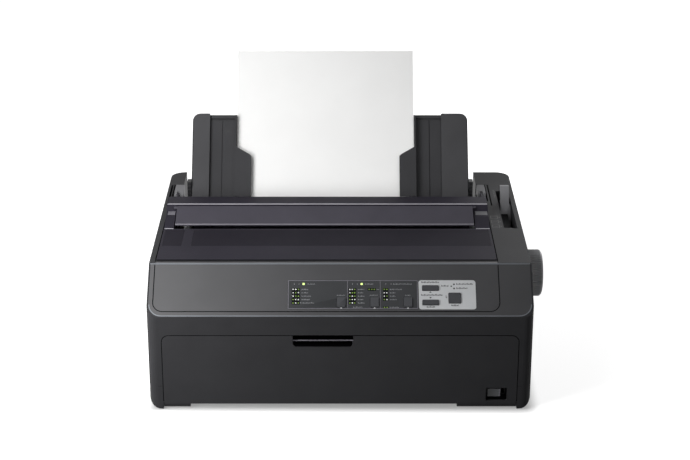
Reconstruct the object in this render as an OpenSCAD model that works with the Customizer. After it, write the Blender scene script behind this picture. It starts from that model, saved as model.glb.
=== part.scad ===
// Desktop impact printer with a smoked top cover, a leaning paper guide and a fold-down front cover.
// Millimetres. X to the right, Y to the rear, Z up from the surface that the feet stand on.

/* [Case] */
// Width of the case
body_w = 410; // [396:1:440]
// Depth of the case
body_d = 336; // [332:1:360]
// Height of the flat top of the side walls
top_z = 150; // [149:0.5:152]
// Height of the front face, where the sloping panel starts
front_h = 109.5; // [106:0.5:112]
// Depth over which the front slopes back
slope_d = 50; // [47:0.5:52]
// Wall of the mouldings
wall = 2.6; // [2.2:0.1:3]
// Height of the seam between lower and upper case
seam_z = 28; // [26:0.5:29]
// Height of the skids' underside over the floor
skid_z = 1; // [0.8:0.1:1.4]
// Height of the underside between the skids
belly_z = 6.9; // [6:0.1:7.4]
// Width of the left skid
left_skid_w = 43.6; // [38:0.1:50]
// Width of the right skid
right_skid_w = 79.2; // [74:0.1:84]
// Radius of the lower side edges
lower_edge_r = 13; // [10:0.5:14]
// Radius of the front corners in plan
front_corner_r = 10; // [7:0.5:11]
// Radius of the rear corners in plan
rear_corner_r = 16; // [12:0.5:18]
// Radius of the long edges of front and top
ridge_r = 3; // [2:0.25:4]
// Height of the top of the rear wall between the ears
rear_wall_z = 84; // [78:1:88]
// Gap between neighbouring mouldings
seam_gap = 0.5; // [0.4:0.05:0.7]

/* [Top opening] */
// Width of the case rim left of the top cover
left_rim_w = 6.8; // [6:0.1:8]
// Width of the ledge right of the top cover
right_ledge_w = 36.2; // [35:0.1:38]
// Width of the left rear ear
left_ear_w = 17.7; // [16:0.1:18.5]
// Width of the right rear ear
right_ear_w = 42.4; // [41:0.1:44]
// Depth to which the pockets of the top cover's hinges reach
pocket_y = 292; // [288:1:296]

/* [Top cover] */
// Front edge of the top cover
cover_front_y = 59; // [56:0.5:62]
// Rear edge of the top cover
cover_back_y = 236; // [234:0.5:237]
// Thickness of the top cover
cover_t = 2.8; // [2.2:0.1:3]
// Place of the cover's ridge in depth
ridge_y = 192.5; // [191:0.5:194]
// Rise of the ridge over the side walls
ridge_rise = 13.5; // [12:0.5:15]
// Front edge of the window
window_y0 = 98; // [90:1:104]
// Rear edge of the window and front of the paper exit
window_y1 = 147.5; // [144:0.5:148.5]
// Depth of the hinge axis of the top cover
cover_pivot_y = 264; // [263.5:0.5:265]
// Radius of the hinge pins of the top cover
cover_pin_r = 2.5; // [2:0.1:2.8]
// Left end of the exit flap
flap_x0 = -186; // [-188:0.5:-184]
// Right end of the exit flap
flap_x1 = 151; // [149:0.5:152]
// Front edge of the exit flap
flap_front_y = 155; // [154:0.5:158]
// Depth of the hinge axis of the exit flap
flap_pivot_y = 187.5; // [186.5:0.5:188]

/* [Front cover] */
// Height of the front cover's top edge
front_cover_top = 87.3; // [84:0.5:90]
// Margin from the case side to the front cover
front_cover_margin = 15.2; // [14:0.1:17]
// Radius of the front cover's top corners
front_cover_r = 7.5; // [6:0.5:9]
// Height of the front cover's hinge axis
front_pivot_z = 8; // [7.8:0.1:8.4]
// Radius of the rolled lower edge of the front cover
front_roll_r = 7; // [6.6:0.1:7.1]
// Depth of the bay behind the front cover
bay_d = 16; // [15.5:0.5:18]
// Left end of the finger recess
grip_x0 = -50.5; // [-54:0.5:-46]
// Right end of the finger recess
grip_x1 = 14.1; // [10:0.5:18]
// Height of the finger recess
grip_h = 12.9; // [11:0.1:14]

/* [Control panel] */
// Rim of case in front of the panel, along the slope
panel_rim = 6.5; // [5.5:0.1:7.5]
// Radius of the panel's lower corners
panel_r = 10.5; // [8:0.5:12]
// Thickness of the legend sheets
sheet_t = 0.8; // [0.6:0.1:1]
// Height of the button caps over the panel
cap_rise = 1.3; // [1.1:0.1:1.6]
// Travel of the buttons
button_travel = 1; // [0.8:0.1:1.1]
// Gap around a button cap
cap_gap = 0.35; // [0.3:0.05:0.5]

/* [Paper guide] */
// Lean of the paper guide from the vertical, in degrees
guide_lean = 36; // [34:0.5:38]
// Depth where the paper plane passes the top of the side walls
guide_y = 250; // [249:0.5:251]
// Left edge of the paper guide
guide_x0 = -175; // [-175.4:0.2:-172]
// Right edge of the paper guide
guide_x1 = 151.2; // [148:0.2:152]
// Width of the guide's left hood
left_hood_w = 20.4; // [18:0.2:22]
// Width of the guide's right hood
right_hood_w = 31.2; // [28:0.2:33]
// Height of the hoods along the guide
hood_l = 102; // [96:0.5:106]
// Height of the sliding plates along the guide
plate_l = 100; // [92:0.5:100.2]
// Height of the cross panel along the guide
cross_l = 64; // [50:1:80]
// Height of the hoods over the paper plane
hood_rise = 4; // [3.4:0.1:4.4]
// Width of the flanges over the paper
flange_w = 18; // [14:0.5:22]
// Height of the flanges' outer top along the guide
flange_l = 60; // [54:0.5:66]
// Distance from the paper plane to the flanges' faces
flange_rise = 5.6; // [5:0.1:6]

/* [Paper] */
// Width of the loaded sheet
paper_w = 210; // [206:1:214]
// Length of the loaded sheet
paper_len = 297; // [280:1:300]
// Length of sheet that stands above the cover
paper_shown = 182; // [174:1:184]
// Left edge of the sheet
paper_x0 = -122.5; // [-123.5:0.5:-121.5]
// Thickness of the sheet with its curl
paper_t = 0.5; // [0.4:0.1:0.6]

/* [Platen and gears] */
// Depth of the platen's axis
platen_y = 117.5; // [117:0.5:119]
// Height of the platen's axis
platen_z = 110; // [109:0.5:111]
// Radius of the platen
platen_r = 16; // [14:0.5:16.5]
// Radius of the platen's shaft
shaft_r = 4; // [3.5:0.1:4.5]
// Radius of the knob
knob_r = 26; // [22:0.5:28]
// Length of the knob
knob_len = 18.8; // [15:0.2:22]
// Size of the gear teeth, pitch diameter over tooth count
tooth_module = 1; // [1:0.01:1.02]
// Width of the gears
gear_w = 5; // [4:0.5:6]

/* [Frame and carriage] */
// Left face of the left side frame
frame_x0 = -179; // [-179.5:0.5:-178.5]
// Right face of the right side frame
frame_x1 = 156; // [155.5:0.5:156.5]
// Thickness of the side frames
frame_t = 2; // [1.6:0.1:2]
// Thickness of the base frame
base_t = 1.6; // [1.2:0.1:2]
// Radius of the carriage rail
rail_r = 5; // [4:0.25:5.5]
// Width of the carriage
carriage_w = 44; // [40:1:48]
// Place of the carriage's middle when it is parked
park_x = -112; // [-116:1:-108]
// Radius of the belt pulleys
pulley_r = 8; // [7:0.25:8.5]

/* [Hidden] */

eps = 0.01;
socket_lip = 0.4;  // how far the sockets stand out of the rear wall
paper_lift = 0.4;  // distance of the sheet's back from the paper plane
half_w = body_w / 2;
fit = 0.05;       // radial clearance of a shaft in its bore
air = 0.4;        // clearance between pieces that pass each other

// Edges of the openings in the case
cover_x0 = -half_w + left_rim_w;
cover_x1 = half_w - right_ledge_w;
ear_x0 = -half_w + left_ear_w;
ear_x1 = half_w - right_ear_w;
bay_x = half_w - front_cover_margin;
skid_x0 = -half_w + left_skid_w;
skid_x1 = half_w - right_skid_w;
front_pivot_y = front_roll_r;
bay_z = front_cover_top + seam_gap;

// The sloping panel
slope_rise = top_z - front_h;
slope_a = atan2(slope_rise, slope_d);
slope_len = norm([slope_rise, slope_d]);
panel_t = wall - 0.1;
pocket_x1 = ear_x1 + 11;

// The paper plane
guide_z = top_z;
paper_x1 = paper_x0 + paper_w;
guide_back = 2.4;         // thickness of the guide's back panel
slide_t = 2;              // thickness of the sliding plates
guide_pivot_y = guide_y + 7;
guide_pivot_z = guide_z - 7;
guide_pin_r = 3;
paper_end_l = paper_shown - paper_len;

// The gears, all in one upright plane, from the platen straight back to the tractor shaft
platen_teeth = 40;
idler_teeth = 50;
tractor_teeth = 28;
pinion_teeth = 12;
gear_x = frame_x0 - 1.2 - gear_w;
idler_step = idler_teeth * tooth_module;
idler_y = [for (k = [0:2]) platen_y + (platen_teeth + idler_teeth) * tooth_module / 2 + k * idler_step];
tractor_y = idler_y[2] + (idler_teeth + tractor_teeth) * tooth_module / 2;
pinion_z = platen_z - (idler_teeth + pinion_teeth) * tooth_module / 2;

// Rails, carriage and belt
rail_y = 72;
rail_z = 86;
head_z = platen_z;
belt_y = 46;
belt_z0 = 82;
belt_h = 5;
belt_t = 1.2;
drive_x = frame_x0 + frame_t + 13;
idler_x = frame_x1 - frame_t - 13;
inner_x0 = frame_x0 + frame_t;
inner_x1 = frame_x1 - frame_t;

// Release lever
lever_x0 = half_w - 17.5;
lever_x1 = half_w - 5.8;
lever_arm_t = 3;
lever_pivot_y = 205;
lever_pivot_z = 92;
lever_h = 29;
lever_lean = 29;
lever_y = 227.5;
lever_d = 6.5;
recess_z = top_z - 14.5;

// The whole stands with its middle over the origin: knob, case side, front face and top of sheet
knob_x0 = half_w + 1.2;
reach_x1 = knob_x0 + knob_len;
reach_y1 = max(body_d + socket_lip, guide_y + paper_shown * sin(guide_lean) - paper_lift * cos(guide_lean));
origin_x = (reach_x1 - half_w) / 2;
origin_y = reach_y1 / 2;

// ---------- helpers ----------

// Moves a piece from the drawing's zero, at the middle of the front face, to the part's origin.
module at_origin() {
  translate([-origin_x, -origin_y, 0]) children();
}

// Extrudes an outline given as [y, z] along X.
module along_x(x0, x1) {
  translate([x0, 0, 0]) rotate([90, 0, 90]) linear_extrude(x1 - x0) children();
}

// Extrudes an outline given as [x, z] along Y.
module along_y(y0, y1) {
  translate([0, y1, 0]) rotate([90, 0, 0]) linear_extrude(y1 - y0) children();
}

// Extrudes an outline given as [x, y] along Z.
module along_z(z0, z1) {
  translate([0, 0, z0]) linear_extrude(z1 - z0) children();
}

// Box between two corners.
module block(a, b) {
  translate(a) cube(b - a);
}

// Round bar along X.
module bar_x(x0, x1, y, z, r) {
  translate([x0, y, z]) rotate([0, 90, 0]) cylinder(h = x1 - x0, r = r, $fn = 48);
}

// Round bar along Z.
module bar_z(x, y, z0, z1, r) {
  translate([x, y, z0]) cylinder(h = z1 - z0, r = r, $fn = 48);
}

// Places children on the sloping panel: x across, y up the slope, z out of the panel.
module on_slope(x, s, lift) {
  translate([x, s * cos(slope_a) - lift * sin(slope_a), front_h + s * sin(slope_a) + lift * cos(slope_a)])
    rotate([slope_a, 0, 0]) children();
}

// Places children on the paper plane: x across, y up the guide, z towards the front.
module on_guide(x, l, lift) {
  translate([x, guide_y + l * sin(guide_lean) - lift * cos(guide_lean),
    guide_z + l * cos(guide_lean) + lift * sin(guide_lean)])
    rotate([90 - guide_lean, 0, 0]) children();
}

// Points of an arc about [cx, cy].
function arc(cx, cy, r, a0, a1, n) =
  [for (k = [0:n]) [cx + r * cos(a0 + (a1 - a0) * k / n), cy + r * sin(a0 + (a1 - a0) * k / n)]];

// Outline of a rectangle with its own radius at each corner:
// lower left, lower right, upper right, upper left.
function round_rect(x0, y0, x1, y1, ll, lr, ur, ul) = concat(
  arc(x0 + ll, y0 + ll, ll, 180, 270, 6),
  arc(x1 - lr, y0 + lr, lr, 270, 360, 6),
  arc(x1 - ur, y1 - ur, ur, 0, 90, 6),
  arc(x0 + ul, y1 - ul, ul, 90, 180, 6));

// Plate on the sloping panel with round corners.
module slope_plate(x0, s0, x1, s1, r, z0, z1) {
  on_slope(0, 0, z0) linear_extrude(z1 - z0) polygon(round_rect(x0, s0, x1, s1, r, r, r, r));
}

// ---------- case outlines ----------

// Plan of the case, drawn in by i.
module plan_outline(i) {
  polygon(round_rect(-half_w + i, i, half_w - i, body_d - i,
    front_corner_r - i, front_corner_r - i, rear_corner_r - i, rear_corner_r - i));
}

// Side view of the case over the seam, drawn in by i: front face, slope, top and rear.
function side_points(i, z_low) = concat(
  [[i, z_low]],
  arc(i + ridge_r, front_h - i * tan(slope_a / 2) - ridge_r * tan((90 - slope_a) / 2),
    ridge_r, 180, 90 + slope_a, 4),
  arc(slope_d + i * tan(slope_a / 2) + ridge_r * tan(slope_a / 2), top_z - i - ridge_r,
    ridge_r, 90 + slope_a, 90, 4),
  [[body_d - i, top_z - i], [body_d - i, z_low]]);

// Front view of the case, drawn in by i: skids, belly, and sides with round lower edges.
function front_points(i, z_high) = concat(
  [[-half_w + i, z_high]],
  arc(-half_w + lower_edge_r, skid_z + lower_edge_r, lower_edge_r - i, 180, 270, 6),
  [[skid_x0 - i, skid_z + i], [skid_x0 - i, belly_z + i],
    [skid_x1 + i, belly_z + i], [skid_x1 + i, skid_z + i]],
  arc(half_w - lower_edge_r, skid_z + lower_edge_r, lower_edge_r - i, 270, 360, 6),
  [[half_w - i, z_high]]);

// Solid form of the case over height z_low, drawn in by i.
module upper_form(i, z_low) {
  intersection() {
    along_x(-half_w + i, half_w - i) polygon(side_points(i, z_low));
    along_z(z_low, top_z + 1) plan_outline(i);
  }
}

// Space of the front cover and its swing, grown by g.
module bay(g) {
  block([-bay_x - g, -1, -1], [bay_x + g, bay_d + g, bay_z + g]);
}

// Region of the panel and the top cover in plan and along the slope, grown by g.
module panel_region(g) {
  on_slope(0, 0, -12) linear_extrude(26)
    polygon(round_rect(cover_x0 - g, panel_rim - g, cover_x1 + g, slope_len + 40, panel_r, panel_r, 1, 1));
}

// ---------- case ----------

module lower_case() color("#2b2b2d") at_origin() {
  boss_top = 12;
  difference() {
    union() {
      difference() {
        intersection() {
          along_y(0, body_d) polygon(front_points(0, seam_z));
          along_z(0, seam_z) plan_outline(0);
        }
        bay(0);
        difference() {
          intersection() {
            along_y(0, body_d) polygon(front_points(wall, seam_z + 1));
            along_z(0, seam_z + 1) plan_outline(wall);
          }
          bay(wall);
        }
      }
      // Pads that carry the base frame and the boards
      for (x = [-150, -20, 100]) {
        for (y = [frame_y0 + 15, frame_y1 - 15]) bar_z(x, y, belly_z + wall - eps, boss_top, 5);
      }
      for (p = board_posts) bar_z(p[0], p[1], belly_z + wall - eps, board_z, 3.5);
      for (p = screw_places) bar_z(p[0], p[1], skid_z + wall - eps, screw_top, 5);
    }
    front_pin_bores();
    power_window();
    for (p = foot_places) bar_z(p[0], p[1], 0, foot_seat_z, 8.2);
    for (p = screw_places) {
      bar_z(p[0], p[1], 0, 2.4, 4);
      bar_z(p[0], p[1], 0, screw_top + 1, 1.95);
    }
  }
}

foot_r = 8;
foot_seat_z = skid_z + 1.2;
foot_places = [[-half_w + 24, 40], [-half_w + 24, body_d - 34],
  [half_w - 34, 40], [half_w - 34, body_d - 34]];
screw_places = [for (p = foot_places) [p[0], p[1] + (p[1] < 100 ? 26 : -26)]];
screw_top = 10;
board_z = 30;
board_t = 1.6;
board_y1 = body_d - 12;
board_y0 = board_y1 - 118;
board_posts = [for (x = [-157, -68, -44, 124], y = [board_y0 + 6, board_y1 - 6]) [x, y]];

// Holes for the pins of the front cover, through both sides of its bay.
module front_pin_bores() {
  bar_x(-bay_x - wall - 1, bay_x + wall + 1, front_pivot_y, front_pivot_z, 2 + fit);
}

module upper_case() color("#2d2d2f") at_origin() {
  difference() {
    upper_form(0, seam_z);
    difference() {
      upper_form(wall, seam_z - 1);
      bay(wall);
      ledge_walls();
    }
    bay(0);
    // Panel and top cover
    intersection() {
      panel_region(seam_gap);
      block([-half_w, 0, front_h - 20], [half_w, slope_d + ridge_r + 2, top_z + 20]);
    }
    block([cover_x0 - seam_gap, slope_d, pocket_z], [cover_x1 + seam_gap, cover_back_y + 4, top_z + 5]);
    // Between the ears, down to the rear wall
    block([ear_x0, cover_back_y, rear_wall_z], [ear_x1, body_d + 1, top_z + 5]);
    // Pockets for the hinges of the top cover
    block([cover_x0 - seam_gap, cover_back_y, pocket_z], [ear_x0 + eps, pocket_y, top_z + 5]);
    block([ear_x1 - eps, cover_back_y, pocket_z], [pocket_x1, pocket_y, top_z + 5]);
    // Slits beside the pockets
    block([-half_w + 3, 222, top_z - 8], [-half_w + 5.4, pocket_y - 1, top_z + 1]);
    block([pocket_x1 + pocket_wall, 222, top_z - 8],
      [pocket_x1 + pocket_wall + 1.7, pocket_y - 1, top_z + 1]);
    // Front paper path behind the front cover
    along_y(bay_d - 1, bay_d + wall + 1) polygon(round_rect(-150, 36, 150, 78, 5, 5, 5, 5));
    // Shaft of the knob
    bar_x(half_w - wall - 1, half_w + 1, platen_y, platen_z, shaft_r + 1);
    // Recess and slit of the release lever
    lever_recess();
    block([lever_x1 - lever_arm_t - air, 152, recess_z - 4], [lever_x1 + air, 270, top_z + 1]);
    // Cut-outs of the rear wall
    inlet_form(0.4, body_d - wall - 1, body_d + 1);
    port_forms(0.4, body_d - wall - 1, body_d + 1);
  }
  panel_lip();
  cover_ledges();
}

pocket_z = top_z - 11;
pocket_wall = 1.9;

// Lip under the edges of the control panel.
module panel_lip() {
  intersection() {
    difference() {
      upper_form(panel_t, front_h - 40);
      upper_form(panel_t + 1.8, front_h - 41);
    }
    difference() {
      panel_region(3);
      panel_region(-3);
    }
    block([-half_w, 0, front_h - 20], [half_w, cover_front_y - 2, top_z]);
  }
}

// Ledges under the ends of the top cover.
module cover_ledges() {
  ledge_z = cover_z - cover_t - 0.3;
  for (x = [cover_x0 - seam_gap - eps, cover_x1 + seam_gap - 3.5 + eps]) {
    block([x, cover_front_y + 1, ledge_z - 2.6], [x + 3.5, cover_back_y - 18, ledge_z]);
  }
}

// Walls that hang from the rims of the top opening and close the ears and the lever's recess.
module ledge_walls() {
  block([-half_w, slope_d, pocket_z - 3], [cover_x0 - seam_gap + eps, pocket_y, top_z]);
  block([cover_x1 + seam_gap - eps, slope_d, pocket_z - 3],
    [cover_x1 + seam_gap + wall, cover_back_y, top_z]);
  // Pocket right of the top cover's right hinge
  block([pocket_x1, cover_back_y - wall, pocket_z - 3], [pocket_x1 + pocket_wall, pocket_y, top_z]);
  block([cover_x1 + seam_gap, cover_back_y - wall, pocket_z - 3],
    [pocket_x1 + pocket_wall, cover_back_y, top_z]);
  // Floors of the pockets and ears
  block([-half_w, cover_back_y, pocket_z - wall], [ear_x0, body_d, pocket_z]);
  block([ear_x1, cover_back_y, pocket_z - wall], [pocket_x1 + pocket_wall, body_d, pocket_z]);
  // Inner sides of the ears
  block([ear_x0 - wall, cover_back_y, rear_wall_z], [ear_x0, body_d, top_z]);
  block([ear_x1, cover_back_y, rear_wall_z], [ear_x1 + wall, body_d, top_z]);
  // Rear ends of the pockets
  block([-half_w, pocket_y, pocket_z - 3], [ear_x0, pocket_y + wall, top_z]);
  block([ear_x1, pocket_y, pocket_z - 3], [pocket_x1 + pocket_wall, pocket_y + wall, top_z]);
  // Tray round the lever's recess
  block([lever_x0 - 3 - wall, 146, recess_z - wall], [half_w, 274, top_z]);
}

// Thumb recess of the release lever: level floor under the lever, rising to the front.
module lever_recess() {
  along_x(lever_x0 - 3, lever_x1 + air)
    polygon([[150, top_z + 1], [150, top_z], [190, recess_z], [270, recess_z], [270, top_z + 1]]);
}

module rubber_feet() color("#1c1c1c") at_origin() {
  for (p = foot_places) {
    translate([p[0], p[1], 0]) rotate_extrude($fn = 48)
      polygon([[0, 0], [foot_r - 1, 0], [foot_r, 0.8], [foot_r, foot_seat_z], [0, foot_seat_z]]);
  }
}

module case_screws() color("#8a8a8a") at_origin() {
  for (p = screw_places) {
    difference() {
      union() {
        bar_z(p[0], p[1], 1.2, 2.4, 3.6);
        bar_z(p[0], p[1], 2.4 - eps, screw_top - 0.5, 1.85);
      }
      for (a = [0, 90]) translate([p[0], p[1], 1.4]) rotate([0, 0, a]) cube([4, 0.8, 1], center = true);
    }
  }
}

// ---------- front cover ----------

module front_cover() color("#303032") at_origin() {
  x1 = bay_x - seam_gap;
  t = wall;
  difference() {
    union() {
      // Face with round top corners
      intersection() {
        along_y(0, bay_d) polygon(concat(
          [[-x1, skid_z], [skid_x0, skid_z], [skid_x0, belly_z], [skid_x1, belly_z], [skid_x1, skid_z],
            [x1, skid_z]],
          arc(x1 - front_cover_r, front_cover_top - front_cover_r, front_cover_r, 0, 90, 6),
          arc(-x1 + front_cover_r, front_cover_top - front_cover_r, front_cover_r, 90, 180, 6)));
        along_x(-x1, x1) polygon(concat(
          [[0, front_cover_top + 1], [0, front_pivot_z]],
          arc(front_pivot_y, front_pivot_z, front_roll_r, 180, 300, 8),
          arc(front_pivot_y, front_pivot_z, front_roll_r - t, 300, 180, 8),
          [[t, front_cover_top + 1]]));
      }
      // Rims that stiffen the face
      for (x = [-x1, x1 - 1.8]) {
        block([x, t - eps, front_pivot_z + 6], [x + 1.8, t + 4, front_cover_top - 9]);
      }
      block([grip_x1 + 3, t - eps, front_cover_top - 4], [x1 - 9, t + 4, front_cover_top - 2.2]);
      block([-x1 + 9, t - eps, front_cover_top - 4], [grip_x0 - 3, t + 4, front_cover_top - 2.2]);
      // Hinge pins with their webs
      for (m = [-1, 1]) {
        bar_x(min(m * (x1 - 6), m * (x1 + 2.6)), max(m * (x1 - 6), m * (x1 + 2.6)),
          front_pivot_y, front_pivot_z, 2);
        along_x(min(m * x1, m * (x1 - 3)), max(m * x1, m * (x1 - 3)))
          translate([front_pivot_y, front_pivot_z]) circle(r = front_roll_r - t + eps, $fn = 48);
      }
      // Cup of the finger recess
      along_y(t - eps, 12) polygon(round_rect(grip_x0 - 1.8, front_cover_top - grip_h - 1.8,
        grip_x1 + 1.8, front_cover_top, 4, 4, 0.5, 0.5));
    }
    // Finger recess, open at the top edge
    along_y(-1, 10) polygon(round_rect(grip_x0, front_cover_top - grip_h, grip_x1, front_cover_top + 2,
      3.5, 3.5, 0.1, 0.1));
    // Window of the power switch
    along_y(-1, t + 1) polygon(round_rect(power_x0, power_z0, power_x1, power_z1, 1.2, 1.2, 1.2, 1.2));
  }
}

// The power switch: a rocker in a frame, behind a window of the front cover.
power_x0 = half_w - 48.7;
power_x1 = power_x0 + 22.6;
power_z0 = front_pivot_z + 2.6;
power_z1 = power_z0 + 15.2;
rocker_y = 9.6;
rocker_z = (power_z0 + power_z1) / 2 + 0.9;

// Cut-out for the switch in the back wall of the bay.
module power_window() {
  block([power_x0 + 0.4, bay_d - 1, rocker_z - 6.4], [power_x1 - 0.4, bay_d + wall + 1, rocker_z + 6.4]);
}

module power_switch() color("#1b1b1c") at_origin() {
  difference() {
    union() {
      block([power_x0 - 1.2, bay_d - 1.4, rocker_z - 7.6], [power_x1 + 1.2, bay_d, rocker_z + 7.6]);
      block([power_x0 + 0.8, 10.2, rocker_z - 6], [power_x1 - 0.8, bay_d + 18, rocker_z + 6]);
    }
    block([power_x0 + 2.2, 10, rocker_z - 4.7], [power_x1 - 2.2, bay_d + 9, rocker_z + 4.7]);
  }
  bar_z((power_x0 + power_x1) / 2, bay_d + 2, rocker_z - 5, rocker_z + 5, 1.25);
  for (x = [power_x0 + 5, power_x0 + 11, power_x0 + 17]) {
    block([x - 0.4, bay_d + 18 - eps, rocker_z - 2.4], [x + 0.4, bay_d + 25, rocker_z + 2.4]);
  }
}

module power_rocker() color("#3a3a3c") at_origin() {
  cx = (power_x0 + power_x1) / 2;
  difference() {
    union() {
      translate([cx, bay_d + 2, rocker_z]) along_z_centred(8.6)
        polygon([[-7.6, -3.2], [-6, -7.8], [0, -6.5], [6.4, -5.2],
          [7.4, 0], [2, 5.5], [-2, 5.5], [-7.4, 0]]);
    }
    bar_z(cx, bay_d + 2, rocker_z - 5, rocker_z + 5, 1.3);
  }
}

// Extrudes an outline given as [x, y] along Z, to both sides of the plane.
module along_z_centred(h) {
  translate([0, 0, -h / 2]) linear_extrude(h) children();
}

// ---------- control panel ----------

// Button places: [x0, s0, x1, s1] on the slope.
font_at = [-3.6, 11.5, 5.8, 22.4];
pitch_at = [31.9, 11.5, 40.9, 22.4];
tear_at = [67.3, 11.5, 76.3, 22.4];
load_at = [87.3, 31.0, 104.5, 37.0];
feed_at = [87.3, 13.8, 104.5, 19.8];
pause_at = [115.1, 16.0, 127.8, 28.1];
buttons = [font_at, pitch_at, tear_at, load_at, feed_at, pause_at];

// Legend sheets: [x0, s0, x1, s1].
status_at = [-55.7, 9.3, 82.7, 43.7];
command_at = [83.5, 8.8, 144, 43.5];

module control_panel() color("#323234") at_origin() {
  difference() {
    union() {
      intersection() {
        difference() {
          upper_form(0, front_h - 30);
          upper_form(panel_t, front_h - 31);
        }
        panel_region(0);
        block([-half_w, 0, front_h - 20], [half_w, cover_front_y - seam_gap, top_z + 20]);
      }
      // Posts that carry the board
      for (x = [-50, 24, 110, 138]) {
        on_slope(x, x == 110 ? 42 : 27, -panel_post_l)
          cylinder(h = panel_post_l - panel_t + 0.3, r = 2, $fn = 24);
      }
    }
    slope_plate(status_at[0] - 0.1, status_at[1] - 0.1, status_at[2] + 0.1, status_at[3] + 0.1, 1.6,
      -sheet_t + 0.2, 2);
    slope_plate(command_at[0] - 0.1, command_at[1] - 0.1, command_at[2] + 0.1, command_at[3] + 0.1, 3.1,
      -sheet_t + 0.2, 2);
    for (b = buttons) button_hole(b);
  }
}

panel_post_l = 9;

module button_hole(b) {
  slope_plate(b[0] - cap_gap, b[1] - cap_gap, b[2] + cap_gap, b[3] + cap_gap, 0.8, -panel_t - 2, 3);
}

module status_overlay() color("#1d1e20") at_origin() {
  difference() {
    slope_plate(status_at[0], status_at[1], status_at[2], status_at[3], 1.5, -sheet_t + 0.2, 0.2);
    for (b = [font_at, pitch_at, tear_at]) button_hole(b);
  }
}

module command_overlay() color("#b4b6b8") at_origin() {
  difference() {
    slope_plate(command_at[0], command_at[1], command_at[2], command_at[3], 3, -sheet_t + 0.2, 0.2);
    for (b = [load_at, feed_at, pause_at]) button_hole(b);
  }
}

module panel_board() color("#1e5b3a") at_origin() {
  difference() {
    slope_plate(-60, 8, 148, 46, 1, -panel_post_l - board_t, -panel_post_l);
    for (x = [-56, 144]) on_slope(x, 12, -panel_post_l - 3) cylinder(h = 4, r = 1.5, $fn = 24);
  }
}

// Rows and columns of the indicator lamps on the legend sheet: [x, s] of each.
lamp_rows = [32.4, 28.4, 24.4, 20.3, 16.3];
lamp_places = concat(
  [for (x = [-49.7, -46.8, -44, 10.3, 13.1, 16]) for (s = lamp_rows) [x, s]],
  [for (x = [30.6, 33.3, 36]) [x, lamp_rows[0]]],
  [for (x = [46.9, 49.7]) for (s = [32.4, 28.4, 24.4, 20.3, 10.6]) [x, s]],
  [[-38.5, 39.1], [23.2, 39.1]]);

module indicator_leds() color("#7ea043") at_origin() {
  for (p = lamp_places) on_slope(p[0], p[1], 0.2) cylinder(h = 0.25, r = 0.75, $fn = 24);
}

// A button: cap through the panel, flange behind it and stem down to its switch.
module button(b) {
  x = (b[0] + b[2]) / 2;
  s = (b[1] + b[3]) / 2;
  slope_plate(b[0], b[1], b[2], b[3], 0.6, -panel_t - 0.5, cap_rise);
  slope_plate(b[0] - 1, b[1] - 1, b[2] + 1, b[3] + 1, 0.6, -panel_t - 1.4, -panel_t - 0.3);
  on_slope(x, s, -panel_post_l + button_travel + 0.4) cylinder(h = 5, r = 1.8, $fn = 24);
}

module font_button() color("#3b3c3e") at_origin() button(font_at);
module pitch_button() color("#3b3c3e") at_origin() button(pitch_at);
module tear_off_button() color("#3b3c3e") at_origin() button(tear_at);
module load_eject_button() color("#2b2c2e") at_origin() button(load_at);
module line_feed_button() color("#2b2c2e") at_origin() button(feed_at);
module pause_button() color("#2b2c2e") at_origin() button(pause_at);

// ---------- top cover ----------

cover_z = top_z + 0.3;
ridge_z = top_z + ridge_rise;
cover_pivot_z = top_z - 5;
crest_y = ridge_y + 25.5;
arm_w = 2.6;
left_arm_x = cover_x0 + 5;
right_arm_x = cover_x1 - 2.9;
flap_pivot_z = ridge_z - 3;
flap_t = 2.2;

// Side view of the cover's skin, from the front edge over the ridge to the rear edge, drawn in by i.
function cover_points(i) = [
  [cover_front_y - 1, cover_z - i], [ridge_y - 12.5, cover_z - i],
  [ridge_y - 1.5 + i * 0.3, ridge_z - 0.6 - i],
  [ridge_y + 1 + i * 0.2, ridge_z - i], [crest_y, ridge_z - 1 - i],
  [cover_back_y, cover_z + 2 - i * 1.15]];

module cover_skin(x0, x1, i0, i1) {
  top_line = cover_points(i0);
  low_line = cover_points(i1);
  along_x(x0, x1) polygon(concat(top_line, [for (k = [len(low_line) - 1:-1:0]) low_line[k]]));
}

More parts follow.
